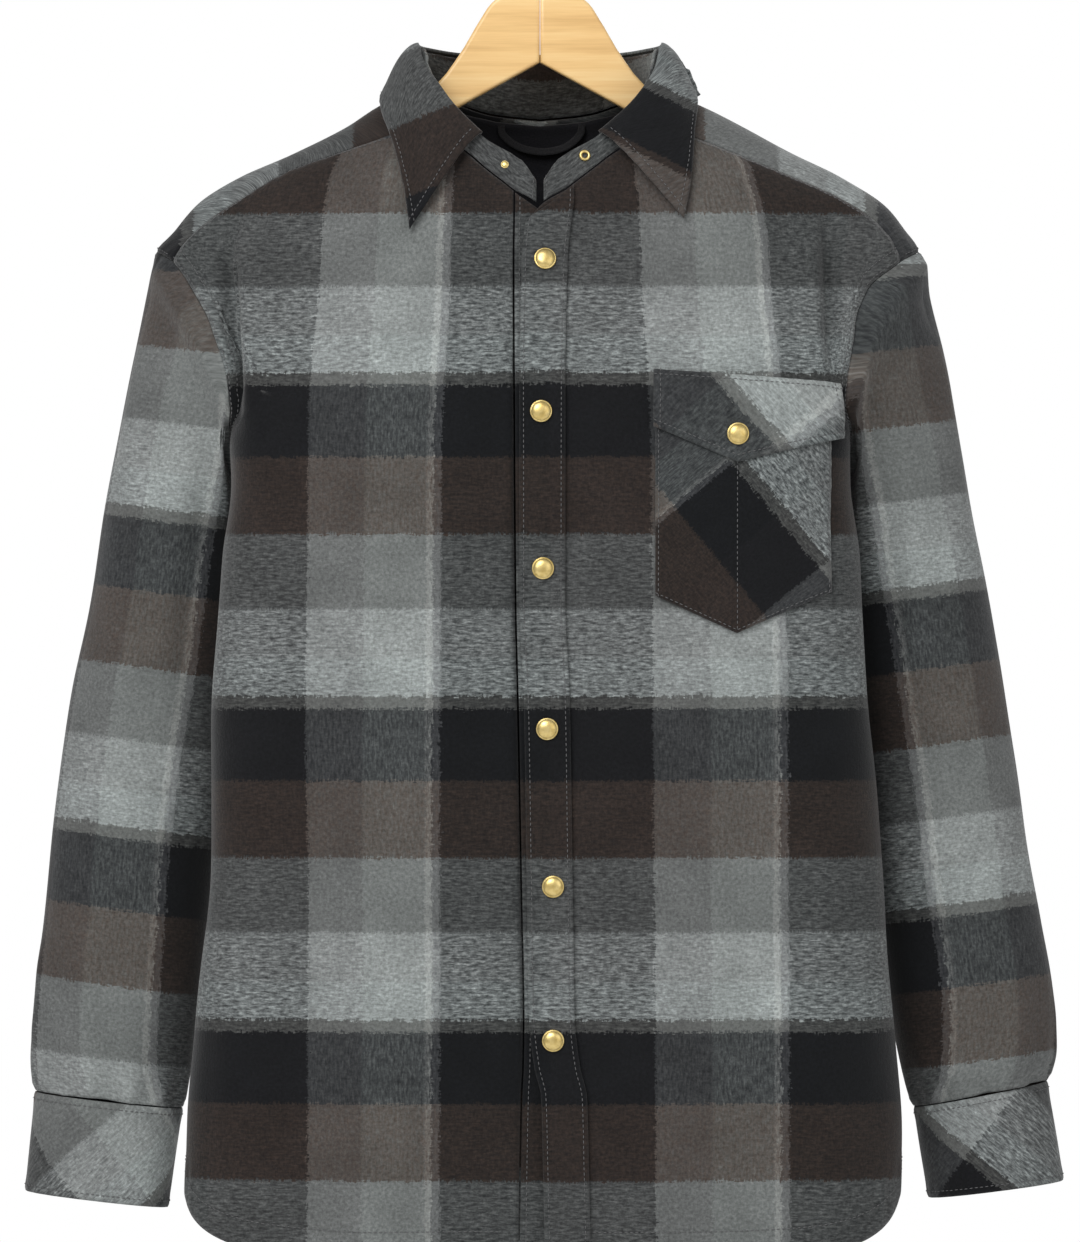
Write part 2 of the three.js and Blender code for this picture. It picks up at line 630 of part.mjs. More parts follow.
// The armhole as a closed loop of points, from the shoulder ridge down the front and up the back
function armholeLoop(side) {
  const frontTop = armholeFront(side, RIDGE_Z, YOKE_END_Z, YOKE_ARM_FRONT);
  frontTop[YOKE_ARM_FRONT] = yokeSeam(side)[YOKE_STEPS];
  const spots = [
    ...frontTop,
    ...armholeFront(side, YOKE_END_Z, UNDERARM_Z, ARM_STEPS).slice(1),
    ...armholeBack(side, UNDERARM_Z, BACK_YOKE_Z, BACK_ARM_STEPS).slice(1),
    ...armholeBack(side, BACK_YOKE_Z, RIDGE_Z, YOKE_ARM_BACK).slice(1, YOKE_ARM_BACK),
  ];
  return spots.map(([angle, z]) => clothPoint(angle, z).p);
}

// The share of a sleeve's section at each point of the armhole loop, in degrees from its outer end
function loopTurns(loop) {
  const lowest = YOKE_ARM_FRONT + ARM_STEPS;
  const lengths = [0];
  loop.forEach((p, i) => lengths.push(lengths[i] + p.distanceTo(loop[(i + 1) % loop.length])));
  const low = lengths[lowest];
  const whole = lengths[loop.length];
  return loop.map((_, i) => (i <= lowest ? (180 * lengths[i]) / low
    : 180 + (180 * (lengths[i] - low)) / (whole - low)));
}

function sleeveRing(row, side, turns) {
  const outer = new THREE.Vector3(side * row.outerX, row.middleY, row.outerZ);
  const inner = new THREE.Vector3(side * row.innerX, row.middleY, row.innerZ);
  const middle = outer.clone().add(inner).multiplyScalar(0.5);
  const half = outer.clone().sub(middle);
  return turns.map((turn) => {
    const c = Math.cos(THREE.MathUtils.degToRad(turn));
    const s = Math.sin(THREE.MathUtils.degToRad(turn));
    const reach = (Math.abs(c) ** SLEEVE_POWER + Math.abs(s) ** SLEEVE_POWER) ** (-1 / SLEEVE_POWER);
    const p = middle.clone().addScaledVector(half, reach * c);
    p.y -= row.halfDepth * reach * s;
    return p;
  });
}

// Moves a point of a sleeve sideways until it clears the body
function clearOfBody(p, side) {
  let low = 0;
  let high = 180;
  for (let k = 0; k < SEARCH_STEPS; k += 1) {
    const middle = (low + high) / 2;
    if (formPoint(side * middle, p.z).y < p.y) {
      low = middle;
    } else {
      high = middle;
    }
  }
  if (p.z < YOKE_END_Z && high < BEHIND_ANGLE) {
    const spot = formPoint(side * low, p.z);
    const bodyX = Math.abs(spot.x) + Math.max(foldHeight(spot), 0);
    p.x = side * Math.max(Math.abs(p.x), bodyX + SLEEVE_CLEARANCE);
  }
  return p;
}

function buildSleeve(side, rows) {
  const loop = armholeLoop(side);
  const turns = loopTurns(loop);
  const top = loop[0];
  const low = loop[YOKE_ARM_FRONT + ARM_STEPS];
  const ideal = sleeveRing({ outerX: Math.abs(top.x), outerZ: top.z, innerX: Math.abs(low.x), innerZ: low.z,
    middleY: (top.y + low.y) / 2, halfDepth: ARMHOLE_HALF_DEPTH }, side, turns);
  const away = new THREE.Vector3(side * (low.z - top.z), 0, side * (top.x - low.x)).normalize();
  away.x = Math.abs(away.x) * side;
  away.z = -Math.abs(away.z);
  const points = [loop.map((p) => p.clone().addScaledVector(away, 4 * SEAM_GAP))];
  rows.forEach((row, k) => {
    const keep = 1 - smooth((k + 1) / ARMHOLE_FADE_ROWS);
    points.push(sleeveRing(row, side, turns).map((p, i) => clearOfBody(
      p.add(loop[i].clone().sub(ideal[i]).multiplyScalar(keep)), side)));
  });
  return tube(points);
}

function tube(points) {
  const centre = (p) => {
    const row = points.find((ring) => ring.some((q) => q.distanceTo(p) < 1e-6));
    return row.reduce((sum, q) => sum.add(q), new THREE.Vector3()).divideScalar(row.length);
  };
  return wall(face(points, true, (p) => p.clone().sub(centre(p))), WALL, true);
}

function buildCuff(side, rows) {
  const turns = steps(CUFF_SIDES).slice(0, CUFF_SIDES).map((t) => 360 * t);
  return tube(rows.map((row) => sleeveRing(row, side, turns)));
}

// The neckband's outer face rises from the neck seam.
// Along runs from 0 at the left front edge to 2 at the right one.
function bandSpot(along) {
  const side = along < 1 ? -1 : 1;
  const spot = sample(NECK, 'along', along < 1 ? along : 2 - along);
  const lift = side > 0 && spot.angle < 90 ? closureLift(formPoint(spot.angle, spot.z).x) : 0;
  return { side, foot: clothPoint(side * spot.angle, spot.z, lift).p, share: along < 1 ? along : 2 - along };
}

function bandTop(along) {
  const { foot, share } = bandSpot(along);
  const shape = sample(STAND, 'along', share);
  const inward = new THREE.Vector3(-foot.x, -foot.y, 0).normalize();
  return foot.clone().add(new THREE.Vector3(0, 0, shape.rise)).addScaledVector(inward, shape.lean);
}

function buildStand() {
  const points = steps(2).map((t) => steps(STAND_COLUMNS).map((u) => {
    const along = 2 * u;
    const foot = bandSpot(along).foot;
    foot.z += STAND_GAP;
    return foot.lerp(bandTop(along), t);
  }));
  return wall(face(points, false, (p) => new THREE.Vector3(p.x, p.y, 0)), WALL, false);
}

// The leaf turns down from the neckband's top to its edge on the body
function leafEdge(along) {
  const side = along < 1 ? -1 : 1;
  const spot = sample(LEAF, 'along', along < 1 ? along : 2 - along);
  const x = side < 0 ? spot.leftX : spot.rightX;
  const z = side < 0 ? spot.leftZ : spot.rightZ;
  const before = clothPoint(angleOfX(side * x, z, 1), z, spot.lift).p;
  const behind = clothPoint(angleOfX(side * x, z, -1), z, spot.lift).p;
  return before.lerp(behind, (1 - spot.face) / 2);
}

function buildLeaf() {
  const start = LEAF[0].along;
  const points = LEAF_ROWS.map((t) => steps(LEAF_COLUMNS).map((u) => {
    const along = lerp(start, 2 - start, u);
    const roll = bandTop(along);
    const outward = new THREE.Vector3(roll.x, roll.y, 0).normalize();
    roll.z += LEAF_RISE;
    const p = roll.clone().lerp(leafEdge(along), t);
    return p.addScaledVector(outward, LEAF_OUT * (1 - t) + LEAF_BULGE * Math.sin(Math.PI * Math.sqrt(t)));
  }));
  return wall(face(points, false, (p) => new THREE.Vector3(p.x, p.y, LEAF_UP_HINT)), WALL, false);
}

// Cloth that lies on the right front, made from that panel's points, moved out
function frontPiece(panel, columns, rows, xAt, zAt, lift) {
  const spot = (u, v) => panelPoint(panel, xAt(u, v), zAt(u, v), lift);
  return wall(steps(rows).map((v) => steps(columns).map((u) => spot(u, v))), WALL, false);
}

function buildPlacket(panel) {
  const zAt = (u, v) => lerp(HEM_FRONT_Z + STRIP_HEM_RISE, lerp(PLACKET_TOP.left, PLACKET_TOP.right, u), v);
  const xAt = (u, v) => {
    const edge = sample(FRONT_EDGE, 'z', zAt(u, v)).over;
    return lerp(edge, edge + PLACKET_WIDTH, u);
  };
  return frontPiece(panel, STRIP_COLUMNS, STRIP_ROWS, xAt, zAt, LAYER);
}

function buildUnderStrip() {
  const grid = steps(STRIP_ROWS).map((v) => steps(STRIP_COLUMNS).map((u) => {
    const z = lerp(HEM_FRONT_Z + STRIP_HEM_RISE, lerp(UNDER_TOP.left, UNDER_TOP.right, u), v);
    const x = lerp(UNDER_START, UNDER_WIDTH, u) + sample(FRONT_EDGE, 'z', z).under;
    return clothPoint(angleOfX(x, z, 1), z, 0);
  }));
  return wall(grid, WALL, false);
}

function pointedEnd(x, shape) {
  return x < shape.middle
    ? lerp(shape.leftEnd, shape.point, (x - shape.left) / (shape.middle - shape.left))
    : lerp(shape.point, shape.rightEnd, (x - shape.middle) / (shape.right - shape.middle));
}

function pointedX(u, shape) {
  return u < 0.5 ? lerp(shape.left, shape.middle, 2 * u) : lerp(shape.middle, shape.right, 2 * u - 1);
}

function buildPocket(panel) {
  const xAt = (u) => pointedX(u, POCKET);
  const zAt = (u, v) => lerp(pointedEnd(xAt(u), POCKET), POCKET.top, v);
  return frontPiece(panel, POCKET_COLUMNS, POCKET_ROWS, xAt, zAt, POCKET_LIFT);
}

function buildFlap(panel) {
  const xAt = (u) => pointedX(u, FLAP);
  const topAt = (x) => lerp(FLAP.leftTop, FLAP.rightTop, (x - FLAP.left) / (FLAP.right - FLAP.left));
  const zAt = (u, v) => lerp(pointedEnd(xAt(u), FLAP), topAt(xAt(u)), v);
  return frontPiece(panel, POCKET_COLUMNS, FLAP_ROWS, xAt, zAt, FLAP_LIFT);
}

// A snap's domed cap, turned so that it faces out of the cloth
function snapCap(name, spot, lift, radius) {
  const profile = SNAP_PROFILE.map((row) => new THREE.Vector2(row.radius * radius, row.height * radius));
  const mesh = named(name, new THREE.LatheGeometry(profile, SNAP_SIDES), brass);
  mesh.quaternion.setFromUnitVectors(new THREE.Vector3(0, 1, 0), spot.n);
  mesh.position.copy(spot.p).addScaledVector(spot.n, lift);
  return mesh;
}

// A small snap half on the neckband
function bandSnap(name, { along, share, radius }) {
  const foot = bandSpot(along).foot;
  const top = bandTop(along);
  const before = bandSpot(along - BAND_STEP).foot;
  const after = bandSpot(along + BAND_STEP).foot;
  const n = after.sub(before).cross(top.clone().sub(foot)).normalize();
  if (n.y > 0) {
    n.negate();
  }
  return snapCap(name, { p: foot.lerp(top, share), n }, BAND_SNAP_LIFT, radius);
}

// The height of the neck seam at an angle round the body
function neckHeight(angle) {
  const after = NECK.find((row) => row.angle >= angle);
  const before = NECK[NECK.indexOf(after) - 1];
  return lerp(before.z, after.z, (angle - before.angle) / (after.angle - before.angle));
}

function buildLining() {
  const grid = steps(LINING.rows).map((v) => steps(LINING.columns).map((u) => {
    const topAngle = lerp(LINING.angle, 360 - LINING.angle, u);
    const low = angleOfX(lerp(LINING.halfWidth, -LINING.halfWidth, u), LINING.bottom, -1);
    const angle = lerp(low < 0 ? low + 360 : low, topAngle, v);
    const top = neckHeight(topAngle > 180 ? 360 - topAngle : topAngle) - LINING.below;
    return clothPoint(angle, lerp(LINING.bottom, top, v), -WALL - LINING.depth);
  }));
  return wall(grid, LINING.thick, false);
}

function buildLoop() {
  const path = new THREE.CatmullRomCurve3(LOOP_PATH.map(({ x, y, z }) => new THREE.Vector3(x, y, z)));
  const section = new THREE.Shape([[-1, -1], [1, -1], [1, 1], [-1, 1]]
    .map(([a, b]) => new THREE.Vector2((a * LOOP_THICK) / 2, (b * LOOP_WIDTH) / 2)));
  return new THREE.ExtrudeGeometry(section, { steps: LOOP_STEPS, extrudePath: path, bevelEnabled: false });
}

// Half of the wooden hanger, from the middle to one end, under the yoke's shoulder line
function buildArm(side) {
  const shape = new THREE.Shape();
  const half = side < 0 ? 'left' : 'right';
  const width = (z) => sample(FORM, 'z', z)[half];
  const points = ARM_NECK_TOP.map(({ x, z }) => [x, z]);
  points[0][0] = SEAM_GAP;
  for (let { start: z } = ARM_SHOULDER; z > ARM_SHOULDER.end; z -= ARM_SHOULDER.step) {
    points.push([width(z + WOOD_CLEARANCE[half]), z]);
  }
  points.push([ARM_END.x, ARM_END.z]);
  ARM_UNDER.forEach(({ x, z }) => points.push([Math.max(x, SEAM_GAP), z]));
  points.forEach(([x, z], i) => {
    const inset = i === 0 || i === points.length - 1 ? WOOD_BEVEL : 0;
    shape[i ? 'lineTo' : 'moveTo'](side * (x + inset), z);
  });
  const geometry = new THREE.ExtrudeGeometry(shape, {
    depth: WOOD_DEPTH - 2 * WOOD_BEVEL,
    bevelThickness: WOOD_BEVEL,
    bevelSize: WOOD_BEVEL,
    bevelOffset: -WOOD_BEVEL,
    bevelSegments: 1,
  });
  geometry.rotateX(Math.PI / 2);
  geometry.translate(0, WOOD_DEPTH / 2 - WOOD_BEVEL, 0);
  return geometry;
}

function buildHook() {
  const centreZ = WIRE_RADIUS - HOOK_RADIUS;
  const points = HOOK_STEM.map(({ x, z }) => [x, z]);
  for (let { start: turn } = HOOK_BEND; turn <= HOOK_BEND.end; turn += HOOK_BEND.step) {
    const a = THREE.MathUtils.degToRad(turn);
    points.push([HOOK_RADIUS * Math.cos(a), centreZ + HOOK_RADIUS * Math.sin(a)]);
  }
  const path = new THREE.CatmullRomCurve3(points.map(([x, z]) => new THREE.Vector3(x, 0, z)));
  const section = new THREE.Shape(steps(WIRE_SIDES).slice(0, WIRE_SIDES).map((t) => new THREE.Vector2(
    WIRE_RADIUS * Math.cos(2 * Math.PI * t), WIRE_RADIUS * Math.sin(2 * Math.PI * t))));
  return new THREE.ExtrudeGeometry(section, { steps: HOOK_STEPS, extrudePath: path, bevelEnabled: false });
}

const shacket = new THREE.Group();
const rightPanel = frontGrid(1);
shacket.add(named('front_left', wall(frontGrid(-1), WALL, false), plaid));
shacket.add(named('front_right', wall(rightPanel, WALL, false), plaid));
shacket.add(named('back', buildBack(), plaid));
shacket.add(named('yoke', buildYoke(), plaid));
shacket.add(named('sleeve_left', buildSleeve(-1, SLEEVE_LEFT), plaid));
shacket.add(named('sleeve_right', buildSleeve(1, SLEEVE_RIGHT), plaid));
shacket.add(named('cuff_left', buildCuff(-1, CUFF_LEFT), plaid));
shacket.add(named('cuff_right', buildCuff(1, CUFF_RIGHT), plaid));
shacket.add(named('collar_stand', buildStand(), plaid));
shacket.add(named('collar_leaf', buildLeaf(), plaid));
shacket.add(named('placket', buildPlacket(rightPanel), plaid));
shacket.add(named('placket_under', buildUnderStrip(), plaid));
shacket.add(named('pocket', buildPocket(rightPanel), plaid));
shacket.add(named('pocket_flap', buildFlap(rightPanel), plaid));
SNAP_SPOTS.forEach(({ x, z }, i) => {
  shacket.add(snapCap(`snap_${i + 1}`, panelPoint(rightPanel, x, z, LAYER), SNAP_LIFT, SNAP_RADIUS));
});
const flapSpot = panelPoint(rightPanel, POCKET_SNAP.x, POCKET_SNAP.z, FLAP_LIFT);
shacket.add(snapCap('pocket_snap', flapSpot, FLAP_SNAP_LIFT, SNAP_RADIUS));
shacket.add(bandSnap('neck_stud', NECK_STUD));
shacket.add(bandSnap('neck_socket', NECK_SOCKET));
shacket.add(named('lining_back', buildLining(), lining));
shacket.add(named('hang_loop', buildLoop(), lining));
shacket.add(named('hanger_left', buildArm(-1), wood));
shacket.add(named('hanger_right', buildArm(1), wood));
shacket.add(named('hanger_hook', buildHook(), steel));

export default shacket;
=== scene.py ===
"""Adds a plaid flannel shacket on a wooden hanger over its CAD frame, one group of pieces at a time."""

import math

import bmesh
import bpy
import numpy as np
from mathutils import Matrix, Vector


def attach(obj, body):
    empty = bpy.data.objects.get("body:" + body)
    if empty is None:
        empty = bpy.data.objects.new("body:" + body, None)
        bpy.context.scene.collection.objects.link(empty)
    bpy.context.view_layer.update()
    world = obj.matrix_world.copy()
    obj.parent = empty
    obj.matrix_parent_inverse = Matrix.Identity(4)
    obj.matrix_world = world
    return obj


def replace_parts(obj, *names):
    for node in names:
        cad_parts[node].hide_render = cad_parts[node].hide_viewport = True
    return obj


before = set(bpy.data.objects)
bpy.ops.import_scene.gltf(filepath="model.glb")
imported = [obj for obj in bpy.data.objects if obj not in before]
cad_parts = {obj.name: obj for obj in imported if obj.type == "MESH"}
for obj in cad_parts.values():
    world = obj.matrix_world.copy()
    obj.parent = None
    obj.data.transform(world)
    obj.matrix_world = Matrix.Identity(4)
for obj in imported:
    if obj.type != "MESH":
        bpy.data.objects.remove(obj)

bl_info = {
    "name": "Plaid Shacket",
    "version": (1, 0, 0),
    "blender": (4, 5, 0),
    "location": "3D View > Sidebar > Shacket",
    "description": "Adds a plaid flannel shacket on a wooden hanger",
    "category": "Object",
}

# Lengths in the tables are millimetres, and angles are degrees round the body from the front's middle
MM = 0.001


def table(columns, rows):
    """Rows of numbers as named columns."""
    return dict(zip(columns.split(), np.array(rows, float).T))


# Cloth and seams, as on the CAD solids
WALL = 2.4
LAYER = 3.2
CLOSURE_FULL = 28
CLOSURE_FADE = 45
TAPER_START = -40
TAPER_RUN = 110
SIDE_ANGLE = 93
UNDERARM_Z = -402
RIDGE_Z = -248
YOKE_END_Z = -255.5
BACK_YOKE_Z = -276
HEM_FRONT_Z = -932
HEM_BACK_Z = -936
HEM_RISE = 66
HEM_RISE_START = 26
HEM_CURVE = 1.25
UNDERARM_CROWD = 1.6
ARMHOLE_STEP = 0.15
PLACKET_WIDTH = 31
PLACKET_TOP = {"left": -230.5, "right": -206.5}
UNDER_WIDTH = 32
UNDER_START = 1.2
UNDER_TOP = {"left": -210.5, "right": -232}
POCKET_LIFT = 3.7
FLAP_LIFT = 7.2
LEAF_RISE = 4.2
LEAF_OUT = 2.6
LEAF_BULGE = 6
STAND_GAP = 1.5
SLEEVE_POWER = 2.3
SLEEVE_CLEARANCE = 4
ARMHOLE_HALF_DEPTH = 60
ARMHOLE_FADE_ROWS = 4
NECK_YOKE = 0.48
NECK_START = {-1: 0.05, 1: -0.06}
SNAP_RADIUS = 7.5
SIDE_FADE = 37
SEAM_FADE = 12
RIPPLE_WIDE = 1.5
RIPPLE_FINE = 0.35
CLOSURE_DIP = 3.2
CLOSURE_DIP_REACH = 4.5

# Distances of seams and stitches from their edges
HEM_ALLOWANCE = 20
SIDE_ALLOWANCE = 9
YOKE_ALLOWANCE = 5
ARMHOLE_STITCHES = (2.6, 10)
CUFF_STITCH = 4.5
STAND_STITCH = 3
LEAF_STITCH = 6
PLACKET_STITCH = 3.4
POCKET_STITCH = 2.6
FLAP_STITCH = 5
FLAP_TOP_STITCH = 3.5

FORM = table("z left right front back front_power back_power taper", [
    [-126, 60, 60, 12, 14, 2.2, 2.2, 0],
    [-137, 84, 84, 22, 30, 2.2, 2.2, 0],
    [-148, 109, 109, 31, 48, 2.2, 2.2, 0],
    [-164, 134, 140, 40, 60, 2.2, 2.2, 0],
    [-182, 169, 174, 46, 67, 2.2, 2.2, 0],
    [-197, 204, 206, 51, 71, 2.2, 2.2, 0],
    [-216, 234, 236, 57, 75, 2.3, 2.3, 0],
    [-233, 249, 249, 61, 78, 2.4, 2.4, 0],
    [-250, 262, 259, 66, 81, 2.5, 2.5, 0],
    [-276, 257, 256, 73, 85, 2.8, 2.6, 0.01],
    [-300, 247, 247, 80, 88, 3.4, 2.7, 0.03],
    [-330, 231, 231, 87, 90, 4.2, 2.8, 0.07],
    [-360, 212, 212, 92, 90, 5.5, 2.8, 0.12],
    [-405, 209, 211, 94, 88, 5.6, 2.8, 0.16],
    [-459, 216, 217, 94, 86, 5.4, 2.8, 0.17],
    [-554, 222, 223, 92, 84, 5, 2.8, 0.17],
    [-677, 225, 233, 90, 80, 4.4, 2.8, 0.17],
    [-782, 235, 242, 88, 76, 4.4, 2.8, 0.17],
    [-840, 241.5, 247, 86, 74, 4.2, 2.8, 0.17],
    [-880, 243, 248, 85, 73, 4, 2.8, 0.17],
    [-940, 240, 245, 84, 72, 4, 2.8, 0.17],
])
NECK = table("along angle z", [
    [-0.06, -2, -230], [0, 0.6, -218], [0.05, 4.6, -209], [0.14, 6.4, -204], [0.28, 13.4, -188.5],
    [0.38, 22.3, -175], [NECK_YOKE, 34, -160.5], [0.56, 49.6, -146], [0.63, 67, -139],
    [0.7, 90, -136.8], [0.77, 125.6, -140], [0.84, 148.5, -146], [0.92, 165.3, -153], [1, 180, -156],
])
YOKE_SEAM = table("z left right", [
    [-160.5, 75, 75], [-171, 105, 103.5], [-183, 140, 134], [-195, 172.7, 164], [-213, 203, 205],
    [-228, 226, 228], [-242, 241, 240], [YOKE_END_Z, 250, 246],
])
ARMHOLE = table("z left right back", [
    [RIDGE_Z, 90, 90, 90], [-250.5, 76, 75, 104], [YOKE_END_Z, 66.7, 65.5, 111.2],
    [-276, 57.9, 52.2, 119.2], [-300, 52.3, 48.6, 121.7], [-330, 50.7, 49, 119],
    [-358, 55.5, 54.5, 111.4], [-380, 70, 69, 103], [-394, 80, 80, 98.5],
    [UNDERARM_Z, SIDE_ANGLE, SIDE_ANGLE, SIDE_ANGLE],
])
FRONT_EDGE = table("z over under", [
    [-217, -8, -18], [-257, -12.2, -18.4], [-350, -13.9, -18], [-487, -13.9, -17],
    [-554, -10.9, -15.5], [-690, -8.8, -13], [-768, -7.5, -11.6], [-800, -4, -12], [-821, 0.7, -13],
    [-870, 2, -14], [-940, 3.6, -15],
])

# Soft folds: a ridge, or a trough where the height is negative, from a top point to a bottom point
FOLD_COLUMNS = "top_x top_z bottom_x bottom_z reach height"
FRONT_FOLDS = table(FOLD_COLUMNS, [
    [-214, -245, -200, -375, 13, 3], [-186, -262, -180, -395, 15, -4],
    [203, -235, 198, -350, 13, 3], [176, -250, 178, -338, 15, -3],
    [-150, -600, -168, -1040, 26, -6], [-96, -560, -112, -1040, 30, 5],
    [138, -610, 152, -1040, 26, -6], [186, -560, 200, -1040, 22, 5], [76, -680, 84, -1040, 28, 4],
])
BACK_FOLDS = table(FOLD_COLUMNS, [
    [-150, -290, -146, -1040, 26, 6], [-96, -300, -88, -1040, 28, -7], [-30, -320, -34, -1040, 30, 5],
    [36, -330, 28, -1040, 26, -5], [92, -300, 96, -1040, 28, 6], [148, -290, 140, -1040, 24, -6],
])
FRONT_CREASES = table(FOLD_COLUMNS, [
    [-216, -222, -205, -386, 7, -19], [-200, -232, -191, -365, 8, 3.4], [-176, -214, -170, -318, 9, -2.2],
    [196, -206, 200, -352, 6.5, -16], [184, -226, 186, -345, 8, 3.2], [166, -205, 163, -300, 9, -2],
    [-84, -228, -118, -330, 14, 1.4], [-62, -300, -150, -372, 12, -1.2], [70, -226, 96, -318, 14, 1.3],
    [-196, -404, -128, -470, 12, -2], [-203, -432, -150, -530, 14, 1.8], [204, -404, 148, -520, 12, -2],
    [207, -440, 176, -560, 13, 1.8], [-186, -560, -172, -800, 12, -1.8], [-66, -420, -58, -640, 16, 1.4],
    [-40, -610, -34, -860, 11, -1.3], [-128, -450, -122, -620, 15, -1.2], [48, -560, 58, -850, 13, -1.5],
    [112, -540, 116, -720, 12, 1.4], [168, -600, 170, -780, 10, -1.7], [-205, -640, -214, -900, 12, 2.2],
    [214, -600, 222, -880, 12, 2.1], [-128, -760, -134, -930, 10, 1.5], [102, -780, 108, -930, 10, -1.4],
    [-24, -720, -30, -930, 9, 1.2], [44, -250, 40, -420, 9, 0.9], [-36, -262, -34, -450, 9, -0.8],
])
BACK_CREASES = table(FOLD_COLUMNS, [
    [-198, -300, -182, -420, 9, -3], [-170, -290, -160, -450, 11, 2], [196, -300, 184, -410, 9, -3],
    [168, -300, 158, -470, 11, 2], [-120, -330, -124, -620, 13, 1.8], [-60, -300, -66, -520, 12, -1.6],
    [10, -290, 6, -560, 12, 1.5], [64, -310, 70, -640, 14, -1.8], [118, -340, 116, -560, 11, 1.6],
    [-190, -430, -110, -520, 13, -1.8], [188, -430, 118, -540, 13, -1.8], [-140, -600, -136, -900, 12, -2],
    [-14, -640, -18, -920, 11, 1.8], [100, -700, 104, -930, 12, -1.8], [170, -560, 176, -860, 12, 2],
    [-88, -760, -92, -930, 10, 1.5],
])
YOKE_CREASES = table(FOLD_COLUMNS, [
    [-120, -160, -170, -268, 12, 1.2], [-60, -168, -84, -270, 11, -1.2], [48, -166, 66, -272, 12, 1.1],
    [130, -172, 162, -264, 11, -1.2], [4, -172, 2, -270, 13, 0.9],
])

SLEEVE_COLUMNS = "outer_x outer_z inner_x inner_z middle_y half_depth"
SLEEVE_ROWS = {
    -1: table(SLEEVE_COLUMNS, [
        [266, -262, 196, -411, 12, 66], [270, -278, 198, -420, 18, 63], [278, -318, 200, -434, 25, 59],
        [287, -365, 202, -455, 30, 56], [299, -426, 204, -484, 34, 53], [311, -500, 207, -530, 36, 51],
        [321, -550, 211, -570, 37, 50], [329, -600, 215, -616, 37, 50], [336, -655, 221, -667, 36, 49],
        [340, -706, 227, -716, 35, 48], [345, -752, 233, -761, 33, 46], [349, -797, 240, -806, 30, 42],
        [346.5, -822.4, 245, -834, 29, 36],
    ]),
    1: table(SLEEVE_COLUMNS, [
        [261, -257, 198, -411, 12, 66], [266, -275, 200, -420, 18, 63], [275, -315, 202, -434, 25, 59],
        [285, -363, 204, -455, 30, 56], [297, -426, 206, -484, 34, 53], [311, -500, 209, -530, 36, 51],
        [319.5, -550, 213, -570, 37, 50], [328.5, -600, 218, -616, 37, 50], [336, -655, 225, -667, 36, 49],
        [344, -706, 232, -716, 35, 48], [351.5, -752, 239, -761, 33, 46], [353, -792, 248, -806, 30, 42],
        [348, -815, 256.5, -833, 29, 36],
    ]),
}
CUFF_ROWS = {
    -1: table(SLEEVE_COLUMNS, [
        [346.8, -823.2, 245.3, -834.8, 29, 35.5], [350, -857, 250, -868, 28.5, 35],
        [353, -891, 255, -902.5, 28, 34],
    ]),
    1: table(SLEEVE_COLUMNS, [
        [348.3, -815.8, 256.8, -833.8, 29, 35.5], [354, -850, 261.5, -865, 28.5, 35],
        [359, -884, 266.5, -896, 28, 34],
    ]),
}
# Creases of a sleeve: turn runs from 0 at the outer end over the front, and along from the shoulder down
SLEEVE_CREASES = table("top_turn top_along bottom_turn bottom_along reach height", [
    [20, 30, 40, 190, 12, 2.2], [52, 20, 66, 210, 13, -2.6], [86, 40, 92, 240, 14, 2.6],
    [112, 60, 104, 260, 11, -2.4], [30, 170, 84, 250, 11, -1.8], [46, 250, 100, 330, 12, 2],
    [24, 300, 70, 372, 10, -1.7], [60, 340, 116, 400, 11, 1.8], [36, 400, 88, 470, 12, -1.6],
    [70, 430, 64, 570, 10, 2], [40, 470, 46, 585, 8, -2], [92, 480, 84, 590, 9, -2.1],
    [110, 500, 106, 592, 8, 1.8], [14, 490, 18, 590, 8, 1.8], [54, 520, 56, 592, 6, 1.5],
    [220, 40, 236, 260, 14, 2.4], [262, 30, 270, 300, 14, -2.6], [300, 40, 306, 240, 12, 2.2],
    [240, 320, 300, 400, 12, -1.8], [226, 470, 232, 590, 9, 2], [262, 450, 258, 590, 9, -2],
    [300, 480, 304, 592, 9, 1.9], [330, 500, 334, 592, 8, -1.7],
])

STAND = table("along rise lean", [
    [0, 24, 6], [0.14, 22, 6], [0.28, 18, 5], [0.38, 21, 5], [0.5, 26, 5], [0.63, 27, 4], [0.75, 28, 2],
    [0.88, 35, 0], [1, 42, -2],
])
LEAF = table("along face left_x left_z right_x right_z lift", [
    [0.26, 1, 88, -237, 97, -229, 5], [0.35, 1, 91, -215, 101, -210, 5.5], [0.43, 1, 95, -196, 103, -192, 6],
    [0.52, 1, 101, -174, 104, -170, 6], [0.6, 1, 106.5, -158, 106, -154, 6],
    [0.68, 1, 108, -149, 106, -146.5, 5], [0.76, -1, 98, -150, 98, -149, 5],
    [0.84, -1, 74, -154, 74, -154, 6],
    [0.92, -1, 40, -160, 40, -160, 7], [1, -1, 0, -163, 0, -163, 7],
])
LEAF_START = 0.26

